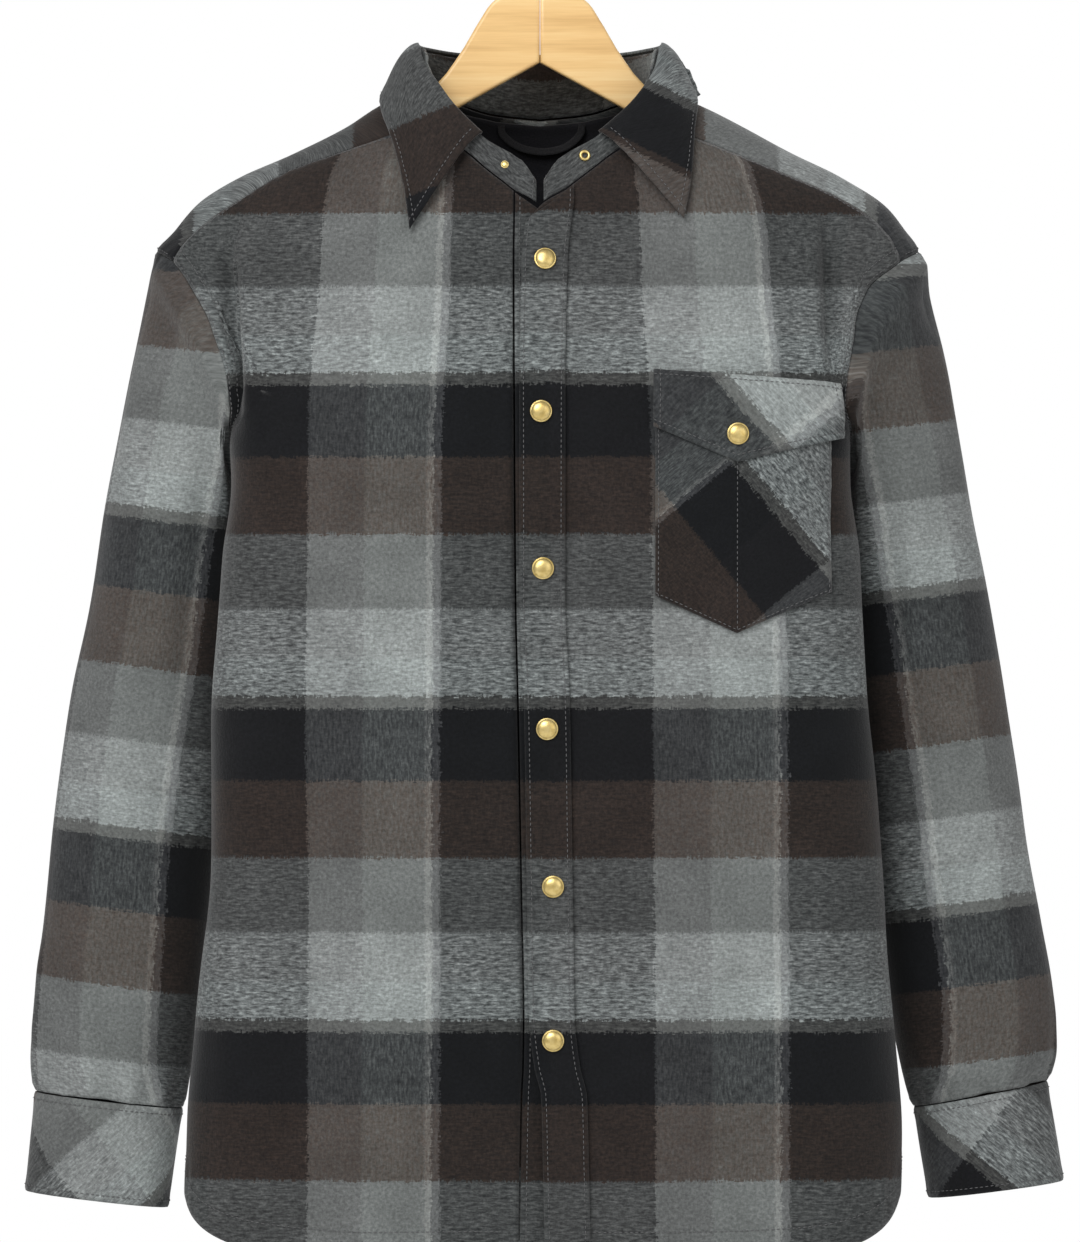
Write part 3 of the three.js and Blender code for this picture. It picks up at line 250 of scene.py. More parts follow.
SNAP_SPOTS = [(3.4, -257.7), (0.7, -359.7), (2, -465), (4.8, -573), (8.8, -679), (8.8, -782.7)]
POCKET_SNAP = (132.6, -375)
NECK_STUD = {"along": 0.15, "share": 0.55, "radius": 2.6}
NECK_SOCKET = {"along": 1.8, "share": 0.6, "radius": 4}
SNAP_PROFILE = [
    (0, 0.5), (0.3, 0.49), (0.55, 0.44), (0.74, 0.35), (0.86, 0.24), (0.9, 0.17), (0.93, 0.19), (0.98, 0.17),
    (1, 0.09), (0.98, 0),
]
SOCKET_PROFILE = [(0.45, 0.02), (0.5, 0.28), (0.62, 0.4), (0.8, 0.4), (0.95, 0.26), (1, 0)]
POCKET = {
    "left": 77.5, "middle": 132.6, "right": 195, "left_top": -341, "right_top": -341,
    "left_end": -483.5, "point": -508.6, "right_end": -481,
}
FLAP = {
    "left": 76.2, "middle": 132.6, "right": 200.6, "left_top": -332.5, "right_top": -340.7,
    "left_end": -370, "point": -393.7, "right_end": -377.4,
}

ARM_NECK_TOP = [(0, -69.5), (9, -69.7), (17, -70.5), (24, -72.3), (29, -75), (33, -78.4), (36, -82),
                (44, -95),
                (52, -109), (58, -118), (64, -126.5), (70, -133), (76, -139)]
ARM_SHOULDER = {"start": -152, "end": -206, "step": 4.5}
ARM_END = (224, -215)
ARM_UNDER = [(222, -231), (205, -224), (160, -203), (108, -176), (58, -151), (0, -119)]
WOOD_CLEARANCE = {-1: 6, 1: 4.6}
WOOD_DEPTH = 13
WOOD_EDGE = 2.4
WOOD_MIDDLE = 0.2
HOOK_STEM = [(0, -69), (0, -62), (0.8, -54), (4, -46)]
HOOK_RADIUS = 21.8
HOOK_BEND = {"start": -52, "end": 205, "step": 23}
WIRE_RADIUS = 1.8
HOOK_STEPS = 110
HOOK_TIP_STEPS = 3

LINING = {"angle": 124, "half_width": 84, "bottom": -300, "depth": 2.6, "thick": 1.8, "below": 0.5}
LOOP_WIDTH = 5
LOOP_THICK = 1.4
QUILT = {"pitch": 9.5, "depth": 0.55, "power": 0.7}
LINING_COLOUR = (0.012, 0.012, 0.015)
LOOP_COLOUR = (0.02, 0.02, 0.022)
LOOP_PATH = [(-27, 47.4, -158), (-25, 49, -166), (-14, 51, -174), (2, 52, -177), (17, 51, -174),
             (27, 49, -166), (29, 47.2, -158)]

# The plaid: bands across the cloth by distance down it, and by distance across it, as shares of a repeat
BAND_START_Z = -333
BAND_COLOURS = [
    (0, (0.4, 0.405, 0.395)), (0.037, (0.105, 0.11, 0.12)), (0.261, (0.27, 0.225, 0.2)),
    (0.5, (0.45, 0.46, 0.455)), (0.73, (0.655, 0.675, 0.67)), (0.88, (0.7, 0.73, 0.725)),
]
STRIPE_START_X = -68
STRIPE_COLOURS = [
    (0, (0.09, 0.095, 0.1)), (0.31, (0.11, 0.11, 0.115)), (0.613, (0.33, 0.335, 0.335)),
    (0.775, (0.4, 0.415, 0.41)), (0.955, (0.52, 0.53, 0.52)), (0.975, (0.32, 0.325, 0.33)),
]
# Where the plaid lies on the cut pieces: its start round a tube and its shift down it, or a bias cut's corner
SLEEVE_PLAID = {-1: (58, 454), 1: (66, 506)}
SLEEVE_TILT = 7.5
CUFF_PLAID = {-1: (105, 52), 1: (66, 16)}
CUFF_TILT = 6
DIAGONAL = 0.707
POCKET_PLAID = {"corner": (131, -396), "down": (-0.771, -0.637), "stripe": -64, "pitch": 1.6}
FLAP_PLAID = {"corner": (112, -333), "down": (-0.74, -0.67), "stripe": 108, "pitch": 0.8}

# The stage, in metres and watts
FLOOR_Z = -1.45
FLOOR_SIZE = 6
CLOTH_FRONT = 0.03
SENSOR_WIDTH = 36


def read(rows, key, value):
    """A table's columns at some values of one of them, with smooth curves that never overshoot a row."""
    value = np.asarray(value, float)
    keys = rows[key]
    rising = 1 if keys[-1] > keys[0] else -1
    i = np.clip(np.searchsorted(rising * keys, rising * value) - 1, 0, len(keys) - 2)
    span = keys[i + 1] - keys[i]
    t = np.clip((value - keys[i]) / span, 0, 1)
    s = t * t * (3 - 2 * t)
    result = {}
    for name, column in rows.items():
        slope = np.diff(column) / np.diff(keys)
        soft = soft_slopes(slope)
        bend = soft[i] * t * (1 - t) ** 2 - soft[i + 1] * t * t * (1 - t)
        result[name] = column[i] + (column[i + 1] - column[i]) * s + span * bend
    return result


def soft_slopes(slope):
    """Slopes at a curve's inner points that keep it from overshooting them."""
    before, after = slope[:-1], slope[1:]
    total = before + after
    safe = np.where(total == 0, 1, total)
    middle = np.where(before * after <= 0, 0, 2 * before * after / safe)
    return np.concatenate([slope[:1], middle, slope[-1:]])


def smooth(t):
    """A soft step from 0 to 1."""
    c = np.clip(t, 0, 1)
    return c * c * (3 - 2 * c)


def lerp(a, b, t):
    return a + (b - a) * t


def steps(count):
    """Even steps from 0 to 1."""
    return np.linspace(0, 1, count + 1)


def unit(vectors):
    """Vectors at length 1."""
    length = np.linalg.norm(vectors, axis=-1, keepdims=True)
    return vectors / np.where(length == 0, 1, length)


# The body's form

def form_point(angle, z):
    """Points of the body's outer form at angles from the middle of the front, without folds."""
    angle, z = np.broadcast_arrays(np.asarray(angle, float), np.asarray(z, float))
    form = read(FORM, "z", z)
    s = np.sin(np.radians(angle))
    c = np.cos(np.radians(angle))
    power = np.where(c > 0, form["front_power"], form["back_power"])
    reach = (np.abs(s) ** power + np.abs(c) ** power) ** (-1 / power)
    y = -np.where(c > 0, form["front"], form["back"]) * reach * c
    narrow = 1 - form["taper"] * smooth((y - TAPER_START) / TAPER_RUN)
    x = np.where(s < 0, form["left"], form["right"]) * reach * s * narrow
    return np.stack([x, y, z], axis=-1)


def form_normal(angle, z, step=0.5):
    """The outward normals of the body's form."""
    around = form_point(angle + step, z) - form_point(angle - step, z)
    up = form_point(angle, z + step) - form_point(angle, z - step)
    return unit(np.cross(around, up))


def angle_of_x(x, z, face):
    """The angles of points on the front (face 1) or the back (face -1) at distances from the middle."""
    x, z = np.broadcast_arrays(np.asarray(x, float), np.asarray(z, float))
    form = read(FORM, "z", z)
    power = form["front_power"] if face > 0 else form["back_power"]
    share = np.minimum(np.abs(x) / np.where(x < 0, form["left"], form["right"]), 0.9999) ** power
    angle = np.degrees(np.arctan((share / (1 - share)) ** (1 / power)))
    return np.where(x < 0, -1, 1) * (angle if face > 0 else 180 - angle)


def fold_height(folds, points, ends):
    """The height of soft folds at points, where each fold fades over a share of its length at both ends."""
    x, z = points[..., 0], points[..., 2]
    height = np.zeros(x.shape)
    for top_x, top_z, bottom_x, bottom_z, reach, tall in zip(*folds.values()):
        t = (z - top_z) / (bottom_z - top_z)
        across = (x - lerp(top_x, bottom_x, t)) / reach
        height += tall * smooth(t / ends) * smooth((1 - t) / ends) * np.exp(-across * across)
    return height


def large_folds(points):
    """The height of the body's large folds, which fade at the sides."""
    folds = np.where(points[..., 1] < 0, fold_height(FRONT_FOLDS, points, 0.2),
                     fold_height(BACK_FOLDS, points, 0.2))
    return folds * smooth(np.abs(points[..., 1]) / SIDE_FADE)


def small_folds(points):
    """The height of the body's smaller creases, which fade at the sides, and of its unevenness."""
    creases = np.where(points[..., 1] < 0, fold_height(FRONT_CREASES, points, 0.4),
                       fold_height(BACK_CREASES, points, 0.4))
    return creases * smooth(np.abs(points[..., 1]) / SIDE_FADE) + ripple(points)


def seam_fade(points, seams):
    """A share that falls to nothing at some edges of a piece, so that it meets its neighbours there."""
    ways = edge_ways(points)
    fade = 1.0
    for side in seams:
        fade = fade * smooth(ways[side] / SEAM_FADE)
    return fade


def ripple(points):
    """The slight unevenness of hanging cloth."""
    x, y, z = points[..., 0], points[..., 1], points[..., 2]
    wide = np.sin(x / 33 + z / 71 + 0.4) * np.sin(z / 52 - x / 83 + y / 60 + 1.3)
    fine = np.sin(x / 14.5 - z / 39 + 2.1) * np.sin(z / 21 + x / 47 + 0.7)
    return RIPPLE_WIDE * wide + RIPPLE_FINE * fine


def closure_lift(x):
    """How far the right front is raised where it laps over the left one."""
    return LAYER * (1 - smooth((x - CLOSURE_FULL) / CLOSURE_FADE))


def cloth_point(angle, z, lift=0.0):
    """Points on the body's cloth moved out by a lift, with the large folds."""
    points = form_point(angle, z)
    return points + form_normal(angle, z) * np.asarray(large_folds(points) + lift)[..., None]


# Seams of the body, as rows of an angle and a height

def hem_z(angle):
    """The hem's height at angles round the body."""
    beyond = np.abs(angle) > SIDE_ANGLE
    away = np.where(beyond, 180 - np.abs(angle), np.abs(angle))
    low = np.where(beyond, HEM_BACK_Z, HEM_FRONT_Z)
    share = smooth((away - HEM_RISE_START) / (SIDE_ANGLE - HEM_RISE_START))
    return lerp(low, HEM_FRONT_Z + HEM_RISE, share ** HEM_CURVE)


def pairs(angle, z):
    """Rows of an angle and a height."""
    angle, z = np.broadcast_arrays(np.asarray(angle, float), np.asarray(z, float))
    return np.stack([angle, z], axis=-1)


def neck_part(side, count):
    """The neck seam of one front."""
    spot = read(NECK, "along", lerp(NECK_START[side], NECK_YOKE, steps(count)))
    return pairs(side * spot["angle"], spot["z"])


def yoke_seam(side, count):
    """The seam of one front with the yoke."""
    z = lerp(YOKE_SEAM["z"][0], YOKE_END_Z, steps(count))
    x = read(YOKE_SEAM, "z", z)["left" if side < 0 else "right"]
    return pairs(angle_of_x(side * x, z, 1), z)


def armhole_z(from_z, to_z, count):
    """Heights along an armhole, closer together at the underarm."""
    t = steps(count)
    if from_z == UNDERARM_Z:
        return lerp(from_z, to_z, t ** UNDERARM_CROWD)
    if to_z == UNDERARM_Z:
        return lerp(to_z, from_z, (1 - t) ** UNDERARM_CROWD)
    return lerp(from_z, to_z, t)


def armhole_part(side, from_z, to_z, count, back=False):
    """A part of an armhole on the front or the back."""
    z = armhole_z(from_z, to_z, count)
    column = "back" if back else ("left" if side < 0 else "right")
    return pairs(side * read(ARMHOLE, "z", z)[column], z)


def side_seam(side, count):
    """One side seam, from the hem to the underarm."""
    return pairs(side * SIDE_ANGLE, lerp(float(hem_z(SIDE_ANGLE)), UNDERARM_Z, steps(count)))


def patch(bottom, top, start, end, across, up):
    """Fills four edges with a grid."""
    u = across[None, :, None]
    v = up[:, None, None]
    rise = lerp(bottom[None], top[None], v)
    run = lerp(start[:, None], end[:, None], u)
    low = lerp(bottom[0], bottom[-1], u)
    high = lerp(top[0], top[-1], u)
    return rise + run - lerp(low, high, v)


# Grids of cloth

def grid_normals(points, closed, hint):
    """Unit normals of a grid on the side of the hint, and whether the grid's own faces look the other way."""
    if closed:
        around = np.roll(points[:, :-1], -1, axis=1) - np.roll(points[:, :-1], 1, axis=1)
        around = np.concatenate([around, around[:, :1]], axis=1)
    else:
        around = np.gradient(points, axis=1)
    normals = unit(np.cross(around, np.gradient(points, axis=0)))
    flip = float((normals * hint).sum()) < 0
    return (-normals if flip else normals), flip


def run_lengths(points, axis):
    """The way along each row or column of a grid from its first point."""
    length = np.linalg.norm(np.diff(points, axis=axis), axis=-1)
    pad = [(0, 0), (0, 0)]
    pad[axis] = (1, 0)
    return np.pad(np.cumsum(length, axis=axis), pad)


def own_weave(points):
    """A place for the weave on pieces whose plaid is drawn along with their shape."""
    return np.stack([run_lengths(points, 0), run_lengths(points, 1)], axis=-1)


def edge_ways(points):
    """The distance of each grid point from the four edges."""
    across = run_lengths(points, 1)
    up = run_lengths(points, 0)
    return {"start": across, "end": across[:, -1:] - across, "bottom": up, "top": up[-1:] - up}


def seam_relief(points, seams):
    """Edges that turn down into their seams, with a pressed allowance and puckers beside the stitches."""
    ways = edge_ways(points)
    relief = np.zeros(points.shape[:2])
    for side, inset in seams.items():
        way = ways[side]
        along = ways["bottom" if side in ("start", "end") else "start"]
        pucker = np.sin(along / 2.1 + 2.2 * np.sin(along / 17))
        pucker = pucker * np.exp(-((way - inset) / (0.5 * inset + 3)) ** 2)
        relief += 0.35 * pucker - 1.0 * np.exp(-(way / 2.2) ** 2)
        relief += 0.5 * smooth(1.6 - way / inset) - 0.35 * np.exp(-((way - inset) / 1.1) ** 2)
    return relief


class Cloth:
    """A grid of cloth: its points, its normals and its place on the plaid."""

    def __init__(self, points, plaid, hint, closed=False, weave=None):
        self.points = points
        self.plaid = plaid
        self.weave = plaid if weave is None else weave
        self.closed = closed
        self.hint = hint
        self.normals, self.flip = grid_normals(points, closed, hint)

    def displaced(self, height):
        return Cloth(self.points + self.normals * height[..., None], self.plaid, self.hint, self.closed,
                     self.weave)

    def line(self, side, inset, begin=0.0, finish=1.0):
        """A line on the cloth at an inset from one edge, as points and normals."""
        way, points, normals = edge_ways(self.points)[side], self.points, self.normals
        if side in ("bottom", "top"):
            way, points, normals = way.T, points.swapaxes(0, 1), normals.swapaxes(0, 1)
        count = len(way)
        spots, faces = [], []
        for k in range(int(begin * count), int(finish * count)):
            order = np.argsort(way[k])
            for found, values in ((spots, points), (faces, normals)):
                found.append([np.interp(inset, way[k][order], values[k][order][:, a]) for a in range(3)])
        return np.array(spots), unit(np.array(faces))


def body_hint(points):
    return np.stack([points[..., 0], 2 * points[..., 1], np.full(points.shape[:2], 30.0)], axis=-1)


def body_plaid(points):
    """The plaid's place on the body: the way round from the middle, and the height."""
    across = run_lengths(points, 1)
    middle = np.argmin(np.abs(points[..., 0]), axis=1)
    rows = np.arange(len(points))
    turn = np.sign(points[:, -1, 0] - points[:, 0, 0])[:, None]
    around = points[rows, middle, 0][:, None] + turn * (across - across[rows, middle][:, None])
    return np.stack([around, points[..., 2]], axis=-1)


def front_cloth(side):
    """One front, from its edge to the side seam and the armhole."""
    neck_count, yoke_count, side_count, arm_count = 36, 54, 130, 80
    seam = yoke_seam(side, yoke_count)
    neck = neck_part(side, neck_count)
    neck[-1] = seam[0]
    end = np.concatenate([side_seam(side, side_count),
                          armhole_part(side, UNDERARM_Z, YOKE_END_Z, arm_count)[1:]])
    end[-1] = seam[-1]
    up = (end[:, 1] - end[0, 1]) / (YOKE_END_Z - end[0, 1])
    z = lerp(HEM_FRONT_Z, neck[0, 1], up)
    edge = read(FRONT_EDGE, "z", z)["under" if side < 0 else "over"]
    start = pairs(angle_of_x(edge + (0 if side < 0 else 0.6), z, 1), z)
    top = np.concatenate([neck, seam[1:]])
    top[0] = start[-1]
    across = steps(neck_count + yoke_count)
    angle = lerp(start[0, 0], side * SIDE_ANGLE, across)
    bottom = pairs(angle, hem_z(angle))
    start[0] = bottom[0]
    grid = patch(bottom, top, start, end, across, up)
    keep_inside_armhole(grid, "left" if side < 0 else "right")
    points = form_point(grid[..., 0], grid[..., 1])
    lift = 0 if side < 0 else np.where(points[..., 1] < 0, closure_lift(points[..., 0]), 0)
    if side < 0:
        beside = points[..., 0] - read(FRONT_EDGE, "z", points[..., 2])["over"] - 0.5
        lift = -CLOSURE_DIP * np.exp(-(beside / CLOSURE_DIP_REACH) ** 2) * (points[..., 1] < 0)
    height = large_folds(points) + small_folds(points) * seam_fade(points, ("end", "top")) + lift
    points = points + form_normal(grid[..., 0], grid[..., 1]) * height[..., None]
    cloth = Cloth(points, body_plaid(points), body_hint(points))
    relief = seam_relief(points, {"end": SIDE_ALLOWANCE, "top": YOKE_ALLOWANCE, "bottom": HEM_ALLOWANCE})
    return cloth.displaced(relief * smooth(edge_ways(points)["start"] / 30))


def keep_inside_armhole(grid, column):
    """Keeps a front's columns inside the hollow curve of its armhole."""
    angle, z = grid[..., 0], grid[..., 1]
    seam = np.where(z > UNDERARM_Z, read(ARMHOLE, "z", z)[column], SIDE_ANGLE)
    index = np.arange(grid.shape[1])[None]
    last = grid.shape[1] - 1
    most = seam - ARMHOLE_STEP * (last - index)
    past = (z < YOKE_END_Z) & (np.abs(angle) > most) & (index > 0) & (index < last)
    grid[..., 0] = np.where(past, np.sign(angle) * most, angle)


def turned(rows):
    """The same places with angles from 0 to 360."""
    return np.stack([np.where(rows[:, 0] < 0, rows[:, 0] + 360, rows[:, 0]), rows[:, 1]], axis=-1)


def back_yoke_seam(count):
    """The back's seam with the yoke."""
    side = float(read(ARMHOLE, "z", BACK_YOKE_Z)["back"])
    return pairs(lerp(side, 360 - side, steps(count)), BACK_YOKE_Z)


def back_cloth():
    """The back, below the yoke."""
    side_count, arm_count, across = 120, 56, steps(150)
    edges = [turned(np.concatenate([side_seam(side, side_count),
                                    armhole_part(side, UNDERARM_Z, BACK_YOKE_Z, arm_count, True)[1:]]))
             for side in (1, -1)]
    up = (edges[0][:, 1] - edges[0][0, 1]) / (BACK_YOKE_Z - edges[0][0, 1])
    angle = lerp(SIDE_ANGLE, 360 - SIDE_ANGLE, across)
    bottom = pairs(angle, hem_z(np.where(angle > 180, angle - 360, angle)))
    grid = patch(bottom, back_yoke_seam(150), edges[0], edges[1], across, up)
    points = form_point(grid[..., 0], grid[..., 1])
    height = large_folds(points) + small_folds(points) * seam_fade(points, ("start", "end", "top"))
    points = points + form_normal(grid[..., 0], grid[..., 1]) * height[..., None]
    cloth = Cloth(points, body_plaid(points), body_hint(points))
    return cloth.displaced(seam_relief(points, {"start": SIDE_ALLOWANCE, "end": SIDE_ALLOWANCE,
                                                "top": YOKE_ALLOWANCE, "bottom": HEM_ALLOWANCE}))


def yoke_cloth():
    """The yoke, over both shoulders from one front seam round the back to the other."""
    arm_front, arm_back, back_count, up_count = 15, 20, 110, 48

    def over_shoulder(side):
        return np.concatenate([armhole_part(side, YOKE_END_Z, RIDGE_Z, arm_front),
                               armhole_part(side, RIDGE_Z, BACK_YOKE_Z, arm_back, True)[1:]])

    right = over_shoulder(1)
    left = over_shoulder(-1)[::-1] + [360, 0]
    right_seam = yoke_seam(1, up_count)[::-1].copy()
    left_seam = yoke_seam(-1, up_count)[::-1] + [360, 0]
    right[0] = right_seam[0]
    left[-1] = left_seam[0]
    outer = np.concatenate([right, back_yoke_seam(back_count)[1:-1], left])
    t = steps(len(outer) - 1)
    spot = read(NECK, "along", lerp(NECK_YOKE, 1, np.where(t <= 0.5, 2 * t, 2 - 2 * t)))
    neck = pairs(np.where(t <= 0.5, spot["angle"], 360 - spot["angle"]), spot["z"])
    neck[0] = right_seam[-1]
    neck[-1] = left_seam[-1]
    grid = patch(outer, neck, right_seam, left_seam, t, steps(up_count))
    points = form_point(grid[..., 0], grid[..., 1])
    height = fold_height(YOKE_CREASES, points, 0.4) + 0.7 * ripple(points)
    height = height * seam_fade(points, ("start", "end", "bottom", "top"))
    points = points + form_normal(grid[..., 0], grid[..., 1]) * height[..., None]
    hint = np.stack([points[..., 0] * 0.3, points[..., 1], np.full(points.shape[:2], 60.0)], axis=-1)
    out = points[..., 0]
    band = np.where(out < 0, out + 236, 221 - out)
    stripe = lerp(25, 118, smooth((out + 60) / 120)) + 0.4 * points[..., 1]
    plaid = np.stack([stripe, BAND_START_Z + band], axis=-1)
    cloth = Cloth(points, plaid, hint, weave=own_weave(points))
    return cloth.displaced(seam_relief(points, {"start": 4, "end": 4, "bottom": 5}))


# Sleeves and cuffs

def armhole_loop(side, factor):
    """The armhole as a loop of angles and heights, from the shoulder ridge down the front and up the back."""
    front_top = armhole_part(side, RIDGE_Z, YOKE_END_Z, 3 * factor)
    front_top[-1] = yoke_seam(side, 9)[-1]
    spots = np.concatenate([
        front_top,
        armhole_part(side, YOKE_END_Z, UNDERARM_Z, 9 * factor)[1:],
        armhole_part(side, UNDERARM_Z, BACK_YOKE_Z, 8 * factor, True)[1:],
        armhole_part(side, BACK_YOKE_Z, RIDGE_Z, 4 * factor, True)[1:],
    ])
    return cloth_point(spots[:, 0], spots[:, 1]), 12 * factor


def sleeve_ring(row, side, turns):
    """One section of a sleeve, as a rounded ring."""
    outer = np.array([side * row["outer_x"], row["middle_y"], row["outer_z"]])
    inner = np.array([side * row["inner_x"], row["middle_y"], row["inner_z"]])
    middle = (outer + inner) / 2
    c = np.cos(np.radians(turns))
    s = np.sin(np.radians(turns))
    reach = (np.abs(c) ** SLEEVE_POWER + np.abs(s) ** SLEEVE_POWER) ** (-1 / SLEEVE_POWER)
    ring = middle + (outer - middle) * (reach * c)[:, None]
    ring[:, 1] -= row["half_depth"] * reach * s
    return ring


def clear_of_body(points, side):
    """Moves a sleeve's points sideways until they clear the body."""
    low = np.zeros(len(points))
    high = np.full(len(points), 180.0)
    for _ in range(20):
        middle = (low + high) / 2
        ahead = form_point(side * middle, points[:, 2])[:, 1] < points[:, 1]
        low = np.where(ahead, middle, low)
        high = np.where(ahead, high, middle)
    body_x = np.abs(form_point(side * low, points[:, 2])[:, 0]) + 2 + SLEEVE_CLEARANCE
    meets = (points[:, 2] < YOKE_END_Z) & (high < 170)
    x = np.where(meets, np.maximum(np.abs(points[:, 0]), body_x), np.abs(points[:, 0]))
    points[:, 0] = side * x
    return points


def between_rings(rings, count):
    """Points between rings, on smooth curves that never overshoot a ring."""
    at = lerp(0, len(rings) - 1, steps(count))
    flat = np.array(rings).reshape(len(rings), -1)
    i = np.clip(np.floor(at).astype(int), 0, len(rings) - 2)
    t = (at - i)[:, None]
    soft = soft_slopes(np.diff(flat, axis=0))
    s = t * t * (3 - 2 * t)
    bend = soft[i] * t * (1 - t) ** 2 - soft[i + 1] * t * t * (1 - t)
    return (flat[i] + (flat[i + 1] - flat[i]) * s + bend).reshape(len(at), -1, 3)


def tube_plaid(points, side, start, band, tilt):
    """The plaid's place on a sleeve: the way round from its outer side, and the way down its axis."""
    axis = np.array([side * math.sin(tilt), 0, -math.cos(tilt)])
    down = points @ axis
    step = np.diff(points, axis=1)
    flat = step - (step @ axis)[..., None] * axis
    around = np.pad(np.cumsum(np.linalg.norm(flat, axis=-1), axis=1), [(0, 0), (1, 0)])
    return np.stack([start + around, BAND_START_Z - (down - band)], axis=-1)


def tube_hint(points):
    return points - points.mean(axis=1, keepdims=True)


def sleeve_cloth(side):
    """A sleeve from the armhole to the cuff."""
    loop, lowest = armhole_loop(side, 6)
    lengths = np.concatenate([[0], np.cumsum(np.linalg.norm(np.diff(loop, axis=0), axis=1))])
    low = lengths[lowest]
    turns = np.where(np.arange(len(loop)) <= lowest, 180 * lengths / low,
                     180 + 180 * (lengths - low) / (lengths[-1] - low))
    top, under = loop[0], loop[lowest]
    ideal = sleeve_ring({"outer_x": abs(top[0]), "outer_z": top[2], "inner_x": abs(under[0]),
                         "inner_z": under[2], "middle_y": (top[1] + under[1]) / 2,
                         "half_depth": ARMHOLE_HALF_DEPTH}, side, turns)
    away = unit(np.array([side * abs(under[2] - top[2]), 0, -abs(top[0] - under[0])]))
    rings = [loop + 0.3 * away]
    rows = SLEEVE_ROWS[side]
    for k in range(len(rows["outer_x"])):
        keep = 1 - smooth((k + 1) / ARMHOLE_FADE_ROWS)
        ring = sleeve_ring({name: column[k] for name, column in rows.items()}, side, turns)
        rings.append(clear_of_body(ring + (loop - ideal) * keep, side))
    points = between_rings(rings, 190)
    way = run_lengths(points, 0)
    height = np.zeros(way.shape)
    circle = np.broadcast_to(turns[None], way.shape)
    mirrored = circle if side < 0 else np.where(circle < 180, 4 + 0.97 * circle, circle)
    for top_turn, top_way, end_turn, end_way, reach, tall in zip(*SLEEVE_CREASES.values()):
        slide = 18 * side
        t = (way - top_way - slide) / (end_way - top_way)
        across = (mirrored - lerp(top_turn, end_turn, t)) * 1.05 / reach
        height += tall * smooth(t / 0.35) * smooth((1 - t) / 0.3) * np.exp(-across * across)
    gather = np.sin(np.radians(circle) * 11 + 1.2 * np.sin(np.radians(circle) * 3))
    left = way[-1:] - way
    height += 1.4 * gather * np.exp(-((left - 2) / 26) ** 2) * smooth(left / 6)
    height += 0.8 * ripple(points) * smooth(way / 40)
    plaid = tube_plaid(points, side, *SLEEVE_PLAID[side], math.radians(SLEEVE_TILT))
    cloth = Cloth(points, plaid, tube_hint(points), True)
    height += seam_relief(points, {"bottom": 4, "top": 3})
    height[:, -1] = height[:, 0]
    return cloth.displaced(height)


def cuff_cloth(side):
    """A cuff, cut on the bias."""
    turns = 360 * steps(132)
    rings = [sleeve_ring({name: column[k] for name, column in CUFF_ROWS[side].items()}, side, turns)
             for k in range(3)]
    points = between_rings(rings, 34)
    plaid = tube_plaid(points, side, 0, 0, math.radians(CUFF_TILT))
    u, v = plaid[..., 0] - 60, plaid[..., 1] - plaid[..., 1].mean()
    stripe, band = CUFF_PLAID[side]
    bias = np.stack([(u + v) * DIAGONAL + stripe, (v - u) * DIAGONAL + BAND_START_Z + band], axis=-1)
    cloth = Cloth(points, bias, tube_hint(points), True)
    height = seam_relief(points, {"bottom": CUFF_STITCH, "top": CUFF_STITCH}) + 0.35 * ripple(points)
    height[:, -1] = height[:, 0]
    return cloth.displaced(height)


# Collar

def band_foot(along):
    """The neckband's foot on the neck seam. Along runs from 0 at the left front edge to 2 at the right."""
    along = np.asarray(along, float)
    side = np.where(along < 1, -1, 1)
    spot = read(NECK, "along", np.where(along < 1, along, 2 - along))
    x = form_point(spot["angle"], spot["z"])[..., 0]
    lift = np.where((side > 0) & (spot["angle"] < 90), closure_lift(x), 0)
    return cloth_point(side * spot["angle"], spot["z"], lift)


def band_top(along):
    """The neckband's upper edge."""
    along = np.asarray(along, float)
    foot = band_foot(along)
    shape = read(STAND, "along", np.where(along < 1, along, 2 - along))
    inward = unit(foot * [-1, -1, 0])
    return foot + inward * shape["lean"][..., None] + shape["rise"][..., None] * np.array([0, 0, 1])


def stand_cloth():
    """The neckband."""
    along = 2 * steps(190)
    foot = band_foot(along) + [0, 0, STAND_GAP]
    t = steps(16)[:, None, None]
    points = lerp(foot[None], band_top(along)[None], t)
    ends = smooth(np.minimum(along, 2 - along) / 0.035)
    points[..., 2] -= (1 - ends)[None] * 7 * t[..., 0] ** 2
    around = run_lengths(points, 1)
    plaid = np.stack([around + 20, BAND_START_Z - 135 + (points[..., 2] - points[:1, :, 2])], axis=-1)
    hint = points * [1, 1, 0]
    cloth = Cloth(points, plaid, hint)
    return cloth.displaced(seam_relief(points, dict.fromkeys(("top", "start", "end"), STAND_STITCH)))


def leaf_edge(along):
    """The leaf's free edge, over the front and round the back."""
    side = np.where(along < 1, -1, 1)
    spot = read(LEAF, "along", np.where(along < 1, along, 2 - along))
    x = side * np.where(side < 0, spot["left_x"], spot["right_x"])
    z = np.where(side < 0, spot["left_z"], spot["right_z"])
    before = cloth_point(angle_of_x(x, z, 1), z, spot["lift"])
    behind = cloth_point(angle_of_x(x, z, -1), z, spot["lift"])
    return lerp(before, behind, ((1 - spot["face"]) / 2)[..., None])


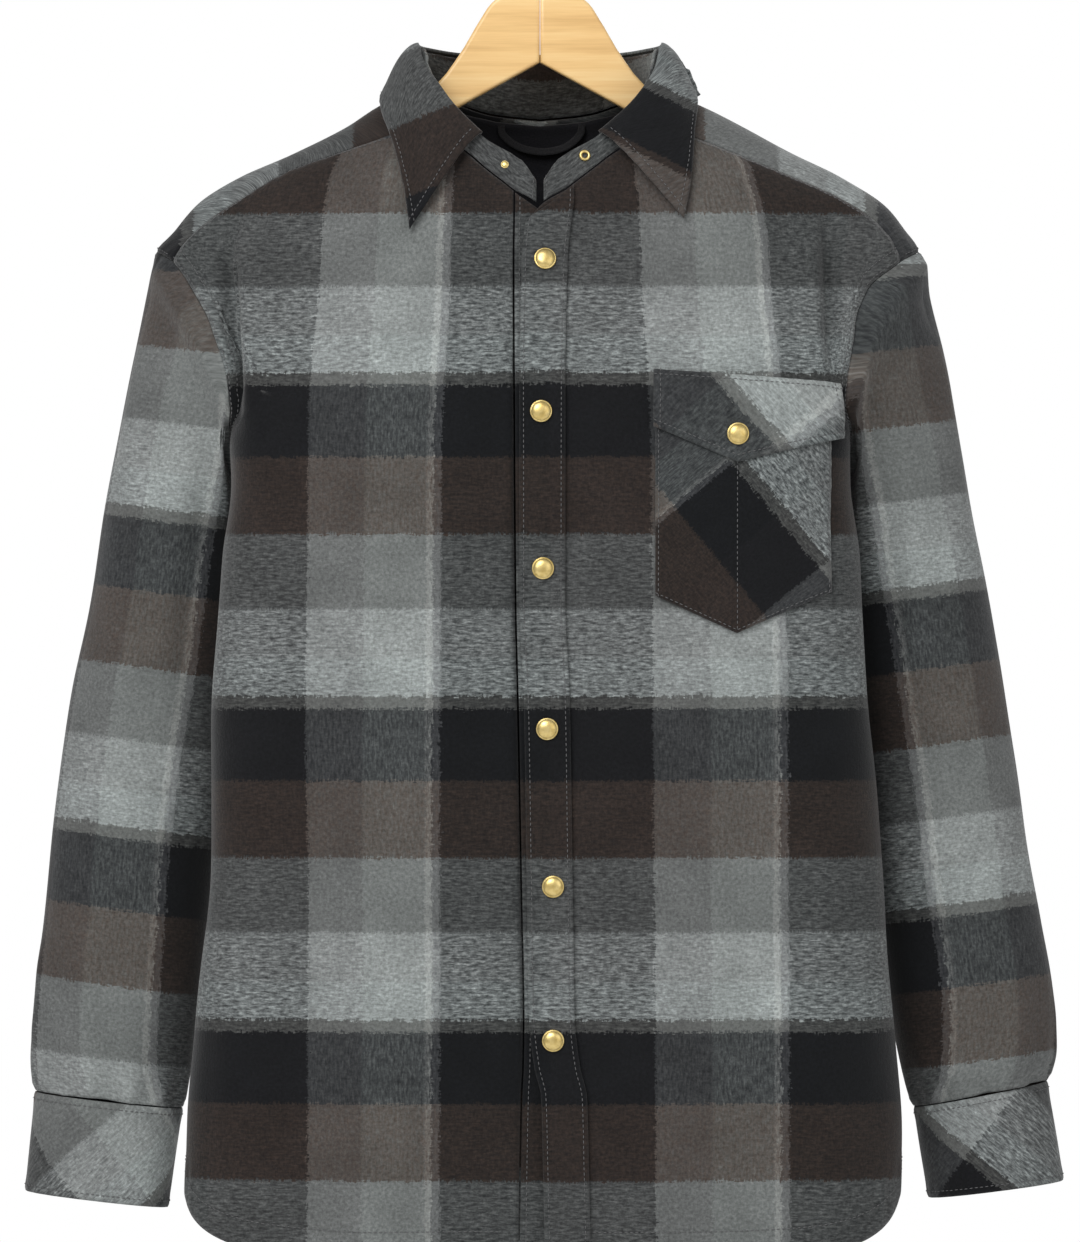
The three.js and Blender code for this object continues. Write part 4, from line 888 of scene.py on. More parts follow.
def leaf_cloth():
    """The collar's leaf, which turns down from the neckband's top."""
    along = lerp(LEAF_START, 2 - LEAF_START, steps(170))
    roll = band_top(along)
    outward = unit(roll * [1, 1, 0])
    roll = roll + [0, 0, LEAF_RISE]
    t = (steps(40) ** 1.6)[:, None, None]
    bulge = LEAF_OUT * (1 - t) + LEAF_BULGE * np.sin(math.pi * np.sqrt(t))
    points = lerp(roll[None], leaf_edge(along)[None], t) + outward[None] * bulge
    left = points[..., 2] + 0.4 * np.abs(points[..., 0])
    right = points[..., 2] + 0.5 * np.abs(points[..., 0])
    share = smooth((points[..., 0] + 30) / 60)
    band = lerp(-234.8 - left, -8 + 1.15 * (right + 102), share)
    stripe = lerp(10, -72 - right, share)
    plaid = np.stack([stripe, BAND_START_Z + band], axis=-1)
    hint = points * [1, 1, 0] + [0, 0, 60]
    cloth = Cloth(points, plaid, hint, weave=own_weave(points))
    height = seam_relief(points, dict.fromkeys(("top", "start", "end"), LEAF_STITCH)) + 0.5 * ripple(points)
    return cloth.displaced(height * smooth(edge_ways(points)["bottom"] / 8))


# Pieces that lie on the right front

def front_piece(x, z, lift):
    """A grid of cloth on the right front, moved out by a lift."""
    angle = angle_of_x(x, z, 1)
    points = form_point(angle, z)
    height = large_folds(points) + small_folds(points) + closure_lift(points[..., 0]) + lift
    return points + form_normal(angle, z) * height[..., None]


def placket_cloth():
    """The band on the upper front."""
    u, v = steps(16)[None], steps(240)[:, None]
    z = lerp(HEM_FRONT_Z + 0.5, lerp(PLACKET_TOP["left"], PLACKET_TOP["right"], u), v)
    x = read(FRONT_EDGE, "z", z)["over"] + PLACKET_WIDTH * u
    points = front_piece(x, z, LAYER)
    plaid = np.stack([x, z], axis=-1)
    cloth = Cloth(points, plaid, np.array([0, -1, 0]))
    return cloth.displaced(seam_relief(points, {"start": PLACKET_STITCH, "end": PLACKET_STITCH, "bottom": 3}))


def under_cloth():
    """The strip on the lower front, under the placket."""
    u, v = steps(14)[None], steps(220)[:, None]
    z = lerp(HEM_FRONT_Z + 0.5, lerp(UNDER_TOP["left"], UNDER_TOP["right"], u), v)
    x = lerp(UNDER_START, UNDER_WIDTH, u) + read(FRONT_EDGE, "z", z)["under"]
    angle = angle_of_x(x, z, 1)
    points = form_point(angle, z)
    points = points + form_normal(angle, z) * large_folds(points)[..., None]
    return Cloth(points, np.stack([x, z], axis=-1), np.array([0, -1, 0]))


def pointed_grid(shape, columns, rows):
    """The places of a piece with a pointed lower end."""
    u, v = steps(columns)[None], steps(rows)[:, None]
    x = np.where(u < 0.5, lerp(shape["left"], shape["middle"], 2 * u),
                 lerp(shape["middle"], shape["right"], 2 * u - 1))
    to_middle = (x - shape["left"]) / (shape["middle"] - shape["left"])
    past_middle = (x - shape["middle"]) / (shape["right"] - shape["middle"])
    low = np.where(u < 0.5, lerp(shape["left_end"], shape["point"], to_middle),
                   lerp(shape["point"], shape["right_end"], past_middle))
    high = lerp(shape["left_top"], shape["right_top"],
                (x - shape["left"]) / (shape["right"] - shape["left"]))
    return np.broadcast_to(x, (rows + 1, columns + 1)), lerp(low, high, v)


def bias_plaid(x, z, corner, down, stripe, pitch):
    """The plaid on a bias cut: its black band starts at a corner, and its bands follow each other down."""
    across = (x - corner[0], z - corner[1])
    band = down[0] * across[0] + down[1] * across[1]
    run = down[0] * across[1] - down[1] * across[0]
    return np.stack([stripe + pitch * run, BAND_START_Z - 8 - band], axis=-1)


def pocket_cloth():
    """The chest pocket, cut on the bias."""
    x, z = pointed_grid(POCKET, 64, 84)
    points = front_piece(x, z, POCKET_LIFT)
    plaid = bias_plaid(x, z, **POCKET_PLAID)
    cloth = Cloth(points, plaid, np.array([0, -1, 0]))
    ways = edge_ways(points)
    rim = np.minimum.reduce([ways["start"], ways["end"], ways["bottom"]])
    height = seam_relief(points, dict.fromkeys(("start", "end", "bottom"), POCKET_STITCH))
    height = height + 1.1 * smooth(rim / 30)
    height += -0.7 * np.exp(-((x - POCKET["middle"]) / 1.6) ** 2) - 0.9 * (1 - smooth(rim / 3))
    return cloth.displaced(height)


def flap_cloth():
    """The pocket's pointed flap, cut on the bias."""
    x, z = pointed_grid(FLAP, 70, 36)
    points = front_piece(x, z, FLAP_LIFT)
    plaid = bias_plaid(x, z, **FLAP_PLAID)
    cloth = Cloth(points, plaid, np.array([0, -1, 0]))
    ways = edge_ways(points)
    height = seam_relief(points, {"start": FLAP_STITCH, "end": FLAP_STITCH, "bottom": FLAP_STITCH,
                                  "top": FLAP_TOP_STITCH})
    height += 0.8 * smooth(ways["bottom"] / 14) * smooth(ways["top"] / 14)
    return cloth.displaced(height)


# Inside the neck

def lining_cloth():
    """The dark lining inside the back, quilted in narrow ribs."""
    u, v = steps(90)[None], steps(60)[:, None]
    top_angle = lerp(LINING["angle"], 360 - LINING["angle"], u)
    folded = np.where(top_angle > 180, 360 - top_angle, top_angle)
    neck_z = np.interp(folded, NECK["angle"], NECK["z"])
    low = angle_of_x(lerp(LINING["half_width"], -LINING["half_width"], u), LINING["bottom"], -1)
    angle = lerp(np.where(low < 0, low + 360, low), top_angle, v)
    z = lerp(LINING["bottom"], neck_z - LINING["below"], v)
    points = cloth_point(angle, z, -WALL - LINING["depth"])
    plaid = np.stack([points[..., 0], points[..., 2]], axis=-1)
    cloth = Cloth(points, plaid, body_hint(points))
    ribs = QUILT["depth"] * np.abs(np.sin(math.pi * z / QUILT["pitch"])) ** QUILT["power"]
    return cloth.displaced(-ribs + 0.4 * ripple(points))


def smooth_path(knots, count):
    """A smooth curve through knots."""
    knots = np.array(knots, float)
    padded = np.concatenate([[2 * knots[0] - knots[1]], knots, [2 * knots[-1] - knots[-2]]])
    at = lerp(0, len(knots) - 1, steps(count))
    i = np.clip(np.floor(at).astype(int), 0, len(knots) - 2)
    t = (at - i)[:, None]
    a, b, c, d = (padded[i + k] for k in range(4))
    return 0.5 * (2 * b + (c - a) * t + (2 * a - 5 * b + 4 * c - d) * t ** 2
                  + (3 * b - a - 3 * c + d) * t ** 3)


def loop_cloth():
    """The hang loop, a folded strip."""
    path = smooth_path(LOOP_PATH, 40)
    tangent = unit(np.gradient(path, axis=0))
    side = unit(np.cross(tangent, [0, 1, 0]))
    width = lerp(-LOOP_WIDTH / 2, LOOP_WIDTH / 2, steps(4))[:, None, None]
    points = path[None] + side[None] * width
    plaid = np.stack([points[..., 0], points[..., 2]], axis=-1)
    return Cloth(points, plaid, np.array([0, -1, 0]))


# Meshes

def finish_mesh(bm, name, material):
    """A mesh object in the scene from a bmesh."""
    mesh = bpy.data.meshes.new(name)
    bm.to_mesh(mesh)
    bm.free()
    mesh.materials.append(material)
    obj = bpy.data.objects.new(name, mesh)
    bpy.context.scene.collection.objects.link(obj)
    return obj


def finish_piece(bm, name, material):
    """A mesh object that rides on the part's body, with its material's slot."""
    obj = finish_mesh(bm, name, material)
    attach(obj, "root")
    return obj


def smooth_faces(bm):
    """Shades every face of a bmesh smooth."""
    for face in bm.faces:
        face.smooth = True


def add_cloth(name, cloth, material, thickness):
    """A thin shell of cloth on a grid, which takes its plaid from the UV map named cloth."""
    rows, columns = cloth.points.shape[:2]
    bm = bmesh.new()
    maps = [(bm.loops.layers.uv.new("cloth"), (cloth.plaid.reshape(-1, 2) * MM).tolist()),
            (bm.loops.layers.uv.new("weave"), (cloth.weave.reshape(-1, 2) * MM).tolist())]
    bmesh.ops.create_grid(bm, x_segments=columns - 1, y_segments=rows - 1, size=1)
    bm.verts.ensure_lookup_table()
    bm.verts.index_update()
    for vert, co in zip(bm.verts, cloth.points.reshape(-1, 3) * MM):
        vert.co = co
    for face in bm.faces:
        face.smooth = True
        for loop in face.loops:
            for layer, places in maps:
                loop[layer].uv = places[loop.vert.index]
    if cloth.flip:
        bmesh.ops.reverse_faces(bm, faces=bm.faces[:])
    if cloth.closed:
        bmesh.ops.remove_doubles(bm, verts=bm.verts[:], dist=0.00002)
    obj = finish_mesh(bm, name, material)
    shell = obj.modifiers.new("thickness", "SOLIDIFY")
    shell.thickness = thickness * MM
    shell.offset = -1
    shell.use_even_offset = False
    return obj


def add_sheet(name, cloth, material, thickness, node):
    """A cloth piece that stands for a CAD node, which it hides."""
    obj = add_cloth(name, cloth, material, thickness)
    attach(obj, "root")
    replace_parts(obj, node)
    return obj


def add_stitches(name, lines, material, pitch, size):
    """Separate short stitches along lines of points and normals."""
    bm = bmesh.new()
    for spots, normals in lines:
        way = np.concatenate([[0], np.cumsum(np.linalg.norm(np.diff(spots, axis=0), axis=1))])
        for at in np.arange(pitch / 2, way[-1], pitch):
            spot, face, ahead = (np.array([np.interp(at + shift, way, values[:, a]) for a in range(3)])
                                 for values, shift in ((spots, 0), (normals, 0), (spots, 0.5)))
            along = unit(ahead - spot)
            across = unit(np.cross(face, along))
            up = np.cross(along, across)
            columns = [along * size["long"] / 2, across * size["wide"] / 2, up * size["tall"] / 2,
                       spot + up * size["lift"]]
            matrix = Matrix([[column[a] * MM for column in columns] for a in range(3)] + [[0, 0, 0, 1]])
            bmesh.ops.create_icosphere(bm, subdivisions=1, radius=1, matrix=matrix)
    smooth_faces(bm)
    return finish_piece(bm, name, material)


def turn_to(normal):
    """The turn that takes the Z axis to a normal."""
    return Vector((0, 0, 1)).rotation_difference(Vector(normal)).to_matrix().to_4x4()


def add_snap(name, spot, normal, radius, lift, material, profile=SNAP_PROFILE):
    """A snap's half, turned round its own axis. A profile that starts off the axis gives a ring."""
    bm = bmesh.new()
    verts = [bm.verts.new((r * radius * MM, 0, h * radius * MM)) for r, h in profile + [(profile[0][0], 0)]]
    edges = [bm.edges.new(pair) for pair in zip(verts, verts[1:])]
    if profile[0][0] > 0:
        edges.append(bm.edges.new((verts[-1], verts[0])))
    bmesh.ops.spin(bm, geom=verts + edges, cent=(0, 0, 0), axis=(0, 0, 1), angle=2 * math.pi, steps=40,
                   use_merge=True)
    bmesh.ops.remove_doubles(bm, verts=bm.verts[:], dist=0.000001)
    bmesh.ops.recalc_face_normals(bm, faces=bm.faces[:])
    place = Matrix.Translation(Vector((spot + normal * lift) * MM)) @ turn_to(normal)
    bmesh.ops.transform(bm, matrix=place, verts=bm.verts[:])
    smooth_faces(bm)
    return finish_piece(bm, name, material)


def front_spot(x, z, lift):
    """A point and its normal on the right front."""
    grid_x = x + np.array([[-1.0, 0, 1.0]] * 3)
    grid_z = z + np.array([[-1.0] * 3, [0] * 3, [1.0] * 3])
    cloth = Cloth(front_piece(grid_x, grid_z, lift), None, np.array([0, -1, 0]))
    return cloth.points[1, 1], cloth.normals[1, 1]


def band_point(spot):
    """A point of the neckband and its normal."""
    along = spot["along"] + np.array([-0.02, 0, 0.02])
    foot, top = band_foot(along), band_top(along)
    normal = unit(np.cross(foot[2] - foot[0], top[1] - foot[1]))
    if normal[1] > 0:
        normal = -normal
    return lerp(foot[1], top[1], spot["share"]), normal


def add_arm(name, side, material):
    """One half of the wooden hanger, with rounded edges."""
    outline = [(max(x, WOOD_MIDDLE), z) for x, z in ARM_NECK_TOP]
    half = "left" if side < 0 else "right"
    for z in np.arange(ARM_SHOULDER["start"], ARM_SHOULDER["end"], -ARM_SHOULDER["step"]):
        outline.append((float(read(FORM, "z", z + WOOD_CLEARANCE[side])[half]), float(z)))
    outline += [ARM_END] + [(max(x, WOOD_MIDDLE), z) for x, z in ARM_UNDER]
    bm = bmesh.new()
    verts = [bm.verts.new((side * x * MM, -WOOD_DEPTH / 2 * MM, z * MM)) for x, z in outline]
    face = bm.faces.new(verts)
    grown = bmesh.ops.extrude_face_region(bm, geom=[face])["geom"]
    moved = [item for item in grown if isinstance(item, bmesh.types.BMVert)]
    bmesh.ops.translate(bm, vec=(0, WOOD_DEPTH * MM, 0), verts=moved)
    bmesh.ops.recalc_face_normals(bm, faces=bm.faces[:])
    rims = [edge for edge in bm.edges if abs(edge.verts[0].co.y - edge.verts[1].co.y) < 0.000001]
    bmesh.ops.bevel(bm, geom=rims, offset=WOOD_EDGE * MM, affect="EDGES", segments=5, profile=0.5,
                    material=-1)
    for face in bm.faces:
        face.smooth = len(face.verts) < 6
    return finish_piece(bm, name, material)


def add_hook(name, material):
    """The hanger's wire hook with a rounded end."""
    centre_z = WIRE_RADIUS - HOOK_RADIUS
    knots = [(x, 0, z) for x, z in HOOK_STEM]
    for turn in np.arange(HOOK_BEND["start"], HOOK_BEND["end"] + 1, HOOK_BEND["step"]):
        a = math.radians(turn)
        knots.append((HOOK_RADIUS * math.cos(a), 0, centre_z + HOOK_RADIUS * math.sin(a)))
    path = smooth_path(knots, HOOK_STEPS)
    tangent = unit(np.gradient(path, axis=0))
    side = np.cross(tangent, [0, 1, 0])
    turns = 2 * math.pi * steps(16)
    tip = np.clip(np.arange(HOOK_STEPS + 1) - (HOOK_STEPS - HOOK_TIP_STEPS), 0, HOOK_TIP_STEPS)
    taper = np.sqrt(np.clip(1 - (tip / (HOOK_TIP_STEPS + 0.05)) ** 2, 0.0001, 1))
    radius = WIRE_RADIUS * taper[:, None, None]
    points = path[:, None] + radius * (np.cos(turns)[None, :, None] * side[:, None]
                                       + np.sin(turns)[None, :, None] * np.array([0, 1, 0]))
    cloth = Cloth(points, np.zeros(points.shape[:2] + (2,)), points - path[:, None], True)
    rows, columns = points.shape[:2]
    bm = bmesh.new()
    bmesh.ops.create_grid(bm, x_segments=columns - 1, y_segments=rows - 1, size=1)
    for vert, co in zip(bm.verts, points.reshape(-1, 3) * MM):
        vert.co = co
    if cloth.flip:
        bmesh.ops.reverse_faces(bm, faces=bm.faces[:])
    bmesh.ops.remove_doubles(bm, verts=bm.verts[:], dist=0.000005)
    bmesh.ops.holes_fill(bm, edges=[edge for edge in bm.edges if edge.is_boundary], sides=0)
    bmesh.ops.recalc_face_normals(bm, faces=bm.faces[:])
    smooth_faces(bm)
    return finish_piece(bm, name, material)


# Materials

class Shader:
    """Builds one material's nodes."""

    def __init__(self, name):
        self.material = bpy.data.materials.get(name) or bpy.data.materials.new(name)
        self.material.use_nodes = True
        self.tree = self.material.node_tree
        self.tree.nodes.clear()
        self.surface = self.add("ShaderNodeBsdfPrincipled")
        output = self.add("ShaderNodeOutputMaterial")
        self.link(self.surface.outputs["BSDF"], output.inputs["Surface"])

    def add(self, kind, **settings):
        node = self.tree.nodes.new(kind)
        for key, value in settings.items():
            setattr(node, key, value)
        return node

    def link(self, source, target):
        self.tree.links.new(source, target)

    def set(self, **values):
        for name, value in values.items():
            self.surface.inputs[name.replace("_", " ")].default_value = value

    def math(self, operation, first, second=None, third=None):
        node = self.add("ShaderNodeMath", operation=operation)
        for socket, value in zip(node.inputs, (first, second, third)):
            if isinstance(value, (int, float)):
                socket.default_value = value
            elif value is not None:
                self.link(value, socket)
        return node.outputs[0]

    def noise(self, vector, scale, detail=2.0, roughness=0.5):
        node = self.add("ShaderNodeTexNoise", noise_dimensions="3D")
        node.inputs["Scale"].default_value = scale
        node.inputs["Detail"].default_value = detail
        node.inputs["Roughness"].default_value = roughness
        self.link(vector, node.inputs["Vector"])
        return node.outputs["Fac"]

    def scaled(self, vector, scale):
        node = self.add("ShaderNodeMapping")
        node.inputs["Scale"].default_value = scale
        self.link(vector, node.inputs["Vector"])
        return node.outputs["Vector"]

    def ramp(self, value, stops, interpolation):
        node = self.add("ShaderNodeValToRGB")
        node.color_ramp.interpolation = interpolation
        elements = node.color_ramp.elements
        while len(elements) > 1:
            elements.remove(elements[-1])
        elements[0].position = stops[0][0]
        elements[0].color = (*stops[0][1], 1)
        for position, colour in stops[1:]:
            elements.new(position).color = (*colour, 1)
        self.link(value, node.inputs["Fac"])
        return node.outputs["Color"]

    def clamp(self, value):
        return self.math("MINIMUM", self.math("MAXIMUM", value, 0), 1)

    def paint(self, colour):
        self.link(colour, self.surface.inputs["Base Color"])

    def grey(self, colour):
        node = self.add("ShaderNodeRGBToBW")
        self.link(colour, node.inputs[0])
        return node.outputs[0]

    def mix(self, factor, first, second, blend="MIX"):
        node = self.add("ShaderNodeMix", data_type="RGBA", blend_type=blend)
        for socket, value in ((node.inputs[0], factor), (node.inputs[6], first), (node.inputs[7], second)):
            if isinstance(value, bpy.types.NodeSocket):
                self.link(value, socket)
            else:
                socket.default_value = value
        return node.outputs[2]

    def bump(self, height, strength, distance):
        node = self.add("ShaderNodeBump")
        node.inputs["Strength"].default_value = strength
        node.inputs["Distance"].default_value = distance
        self.link(height, node.inputs["Height"])
        self.link(node.outputs["Normal"], self.surface.inputs["Normal"])


def plaid_flannel(settings):
    """Brushed flannel in a plaid: bands and stripes mixed thread by thread, among lighter fibres."""
    shader = Shader("plaid_flannel")
    place = shader.add("ShaderNodeUVMap", uv_map="cloth").outputs["UV"]
    split = shader.add("ShaderNodeSeparateXYZ")
    shader.link(place, split.inputs[0])
    weave = shader.add("ShaderNodeUVMap", uv_map="weave").outputs["UV"]
    weft = shader.noise(shader.scaled(weave, (150, 620, 1)), 1, 4, 0.65)
    warp = shader.noise(shader.scaled(weave, (620, 150, 1)), 1, 4, 0.65)
    heather = shader.noise(weave, 420, 5, 0.7)
    cloud = shader.noise(weave, 28, 3, 0.5)
    fray = shader.math("MULTIPLY", shader.math("SUBTRACT", weft, warp), 0.009)
    across = shader.math("ADD", split.outputs[0], fray)
    down = shader.math("ADD", split.outputs[1], fray)
    band_at = shader.math("DIVIDE", shader.math("SUBTRACT", BAND_START_Z * MM, down), settings.band_repeat)
    stripe_at = shader.math("DIVIDE", shader.math("SUBTRACT", across, STRIPE_START_X * MM),
                            settings.stripe_repeat)
    bands = shader.ramp(shader.math("FRACT", band_at), BAND_COLOURS, "CONSTANT")
    stripes = shader.ramp(shader.math("FRACT", stripe_at), STRIPE_COLOURS, "CONSTANT")
    weft_show = shader.math("MULTIPLY_ADD", shader.math("SUBTRACT", shader.grey(bands), shader.grey(stripes)),
                            1.1, 0.5)
    weft_show = shader.clamp(weft_show)
    flecks = shader.math("MULTIPLY", shader.math("SUBTRACT", weft, 0.5), weft_show)
    warp_flecks = shader.math("MULTIPLY", shader.math("SUBTRACT", warp, 0.5),
                              shader.math("SUBTRACT", 1, weft_show))
    lean = shader.math("MULTIPLY_ADD", shader.math("SUBTRACT", flecks, warp_flecks), settings.heather, 0.5)
    woven = shader.mix(shader.clamp(lean), stripes, bands)
    lift = shader.math("MULTIPLY_ADD", heather, 0.9, 0.52)
    lift = shader.math("MULTIPLY", lift, shader.math("MULTIPLY_ADD", cloud, 0.3, 0.86))
    grey = shader.add("ShaderNodeCombineColor")
    for socket in grey.inputs[:3]:
        shader.link(lift, socket)
    woven = shader.mix(1.0, woven, grey.outputs[0], "MULTIPLY")
    gamma = shader.add("ShaderNodeGamma")
    gamma.inputs["Gamma"].default_value = 2.2
    shader.link(woven, gamma.inputs["Color"])
    shader.paint(gamma.outputs[0])
    nap = shader.math("ADD", shader.math("ADD", weft, warp), shader.math("MULTIPLY", heather, 1.5))
    shader.bump(nap, 0.35, 0.0009)
    shader.set(Roughness=0.95, Sheen_Weight=0.18, Sheen_Roughness=0.45, Specular_IOR_Level=0.15)
    return shader.material


def plain_cloth(name, colour):
    """A matt cloth of one colour with a fine weave."""
    shader = Shader(name)
    place = shader.add("ShaderNodeUVMap", uv_map="cloth").outputs["UV"]
    weave = shader.noise(place, 900, 2, 0.5)
    shade = shader.ramp(weave, [(0.3, [0.6 * c for c in colour]), (0.7, [1.3 * c for c in colour])], "LINEAR")
    shader.paint(shade)
    shader.bump(weave, 0.3, 0.0004)
    shader.set(Roughness=0.85, Specular_IOR_Level=0.2, Sheen_Weight=0.1)
    return shader.material


def thread():
    """Dark grey sewing thread. Its darkness is partly painted shade, standing in for the shade in the stitch
    grooves.
    """
    shader = Shader("thread_and_groove_shade")
    # Painted shade: the thread's dark grey also stands for the shade in the grooves along the stitch lines
    shader.set(Base_Color=(0.11, 0.11, 0.112, 1), Roughness=0.8)
    return shader.material


def aged_brass():
    """Pale brass with a slightly uneven polish."""
    shader = Shader("aged_brass")
    coords = shader.add("ShaderNodeTexCoord").outputs["Object"]
    wear = shader.noise(coords, 260, 3, 0.55)
    shade = shader.ramp(wear, [(0.3, (0.62, 0.45, 0.15)), (0.7, (0.86, 0.68, 0.3))], "LINEAR")
    shader.paint(shade)
    shader.set(Metallic=1.0, Roughness=0.36)
    return shader.material


def honey_wood():
    """Varnished pale wood with its grain along the hanger."""
    shader = Shader("honey_wood")
    coords = shader.add("ShaderNodeTexCoord").outputs["Object"]
    grain = shader.noise(shader.scaled(coords, (6, 60, 110)), 1, 4, 0.55)
    fine = shader.noise(shader.scaled(coords, (30, 700, 900)), 1, 2, 0.5)
    both = shader.math("MULTIPLY_ADD", fine, 0.25, shader.math("MULTIPLY", grain, 0.8))
    shade = shader.ramp(both, [(0.35, (0.66, 0.4, 0.15)), (0.52, (0.79, 0.51, 0.21)),
                               (0.72, (0.85, 0.6, 0.28))], "LINEAR")
    shader.paint(shade)
    shader.set(Roughness=0.38, Coat_Weight=0.25, Coat_Roughness=0.25)
    return shader.material


def bright_steel():
    """Polished steel wire."""
    shader = Shader("bright_steel")
    shader.set(Base_Color=(0.72, 0.73, 0.75, 1), Metallic=1.0, Roughness=0.22)
    return shader.material


def matt_paint(name, colour):
    shader = Shader(name)
    shader.set(Base_Color=(*colour, 1), Roughness=0.9, Specular_IOR_Level=0.1)
    return shader.material


# Settings of the add-on

def length_setting(name, description, default):
    """A length in metres, which the panel shows in the scene's units."""
    return bpy.props.FloatProperty(name=name, description=description, default=default, unit="LENGTH",
                                   subtype="DISTANCE")


class ShacketSettings(bpy.types.PropertyGroup):
    """Sizes of the cloth, its plaid and its stitches."""

    cloth_thickness: bpy.props.FloatProperty(
        name="Cloth", description="Thickness of the flannel, in millimetres", default=2, min=0.5, max=4)
    band_repeat: length_setting("Band Repeat", "Height of the plaid's repeat", 0.218)
    stripe_repeat: length_setting("Stripe Repeat", "Width of the plaid's repeat", 0.238)
    heather: bpy.props.FloatProperty(
        name="Heather", description="How strongly single threads show", default=1.6, min=0, max=4)
    stitch_pitch: bpy.props.FloatProperty(
        name="Stitch Pitch", description="Distance from one stitch to the next, in millimetres", default=3.6,
        min=2, max=8)
    stitch_length: bpy.props.FloatProperty(
        name="Stitch Length", description="Length of a stitch, in millimetres", default=2.7, min=1, max=6)


class StageSettings(bpy.types.PropertyGroup):
    """The camera and the light."""

    camera_distance: length_setting("Camera Distance", "Distance from the camera to the hanger's plane", 6)
    frame_height: length_setting("Frame Height", "Height that the picture shows at the cloth's front", 0.8446)
    frame_middle: length_setting("Frame Middle", "Height of the picture's middle", -0.5005)
    key_power: bpy.props.FloatProperty(
        name="Key", description="Power of the key light, in watts", default=86)
    fill_power: bpy.props.FloatProperty(
        name="Fill", description="Power of the fill light, in watts", default=16)
    back_power: bpy.props.FloatProperty(
        name="Back", description="Power of the light behind, in watts", default=40)
    world_strength: bpy.props.FloatProperty(
        name="World", description="Strength of the light from the white surroundings", default=0.46)


def add_flannel(settings, pieces):
    """Adds flannel sheets by the names of the CAD nodes that they stand for."""
    flannel = plaid_flannel(settings)
    for node, cloth in pieces.items():
        add_sheet(node + "_cloth", cloth, flannel, settings.cloth_thickness, node)


def sew(settings, name, lines):
    """Adds stitches along lines on the cloth."""
    size = {"long": settings.stitch_length, "wide": 0.7, "tall": 0.6, "lift": 0.3}
    add_stitches(name, lines, thread(), settings.stitch_pitch, size)


# Operators

class SHACKET_OT_body(bpy.types.Operator):
    """Adds the fronts, the back and the yoke with their stitching"""

    bl_idname = "shacket.body"
    bl_label = "Add Body"

    def execute(self, context):
        settings = context.scene.shacket
        left, right, back, yoke = front_cloth(-1), front_cloth(1), back_cloth(), yoke_cloth()
        add_flannel(settings, {"front_left": left, "front_right": right, "back": back, "yoke": yoke})
        lines = [back.line("bottom", HEM_ALLOWANCE), back.line("top", 4), yoke.line("bottom", 3, 0.02, 0.98)]
        for cloth in (left, right):
            lines += [cloth.line("end", inset, begin, 1)
                      for inset, begin in zip(ARMHOLE_STITCHES, (0.64, 0.66))]
            lines += [cloth.line("bottom", HEM_ALLOWANCE, 0.04, 1), cloth.line("top", 3, 0.42, 1)]
        lines += [back.line(edge, inset, 0.7, 1) for edge in ("start", "end") for inset in ARMHOLE_STITCHES]
        sew(settings, "body_stitches", lines)
        return {"FINISHED"}


class SHACKET_OT_sleeves(bpy.types.Operator):
    """Adds both sleeves and cuffs with their stitching"""

    bl_idname = "shacket.sleeves"
    bl_label = "Add Sleeves"

    def execute(self, context):
        settings = context.scene.shacket
        lines = []
        for side, half in ((-1, "left"), (1, "right")):
            cuff = cuff_cloth(side)
            add_flannel(settings, {f"sleeve_{half}": sleeve_cloth(side), f"cuff_{half}": cuff})
            lines += [cuff.line(edge, CUFF_STITCH) for edge in ("bottom", "top")]
        sew(settings, "cuff_stitches", lines)
        return {"FINISHED"}


class SHACKET_OT_collar(bpy.types.Operator):
    """Adds the neckband and the collar's leaf with their stitching"""

    bl_idname = "shacket.collar"
    bl_label = "Add Collar"

    def execute(self, context):
        settings = context.scene.shacket
        stand, leaf = stand_cloth(), leaf_cloth()
        add_flannel(settings, {"collar_stand": stand, "collar_leaf": leaf})
        lines = [leaf.line("top", LEAF_STITCH, begin, finish)
                 for begin, finish in ((0, 0.2), (0.27, 0.73), (0.8, 1))]
        lines += [leaf.line(edge, LEAF_STITCH, 0.1, 1) for edge in ("start", "end")]
        lines += [stand.line(edge, STAND_STITCH) for edge in ("start", "end")]
        sew(settings, "collar_stitches", lines)
        return {"FINISHED"}


class SHACKET_OT_closure(bpy.types.Operator):
    """Adds the placket, the strip under it, the snaps and the neckband's snap halves"""

    bl_idname = "shacket.closure"
    bl_label = "Add Closure"

    def execute(self, context):
        settings = context.scene.shacket
        brass = aged_brass()
        placket, under = placket_cloth(), under_cloth()
        add_flannel(settings, {"placket": placket, "placket_under": under})
        lines = [placket.line(edge, PLACKET_STITCH) for edge in ("start", "end")] + [under.line("start", 4)]
        sew(settings, "closure_stitches", lines)
        for i, (x, z) in enumerate(SNAP_SPOTS):
            spot, normal = front_spot(x, z, LAYER)
            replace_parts(add_snap(f"snap_{i + 1}_cap", spot, normal, SNAP_RADIUS, 0.3, brass), f"snap_{i + 1}")
        for name, place, profile in (("neck_stud", NECK_STUD, SNAP_PROFILE),
                                     ("neck_socket", NECK_SOCKET, SOCKET_PROFILE)):
            spot, normal = band_point(place)
            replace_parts(add_snap(name + "_metal", spot, normal, place["radius"], 0.4, brass, profile), name)
        return {"FINISHED"}


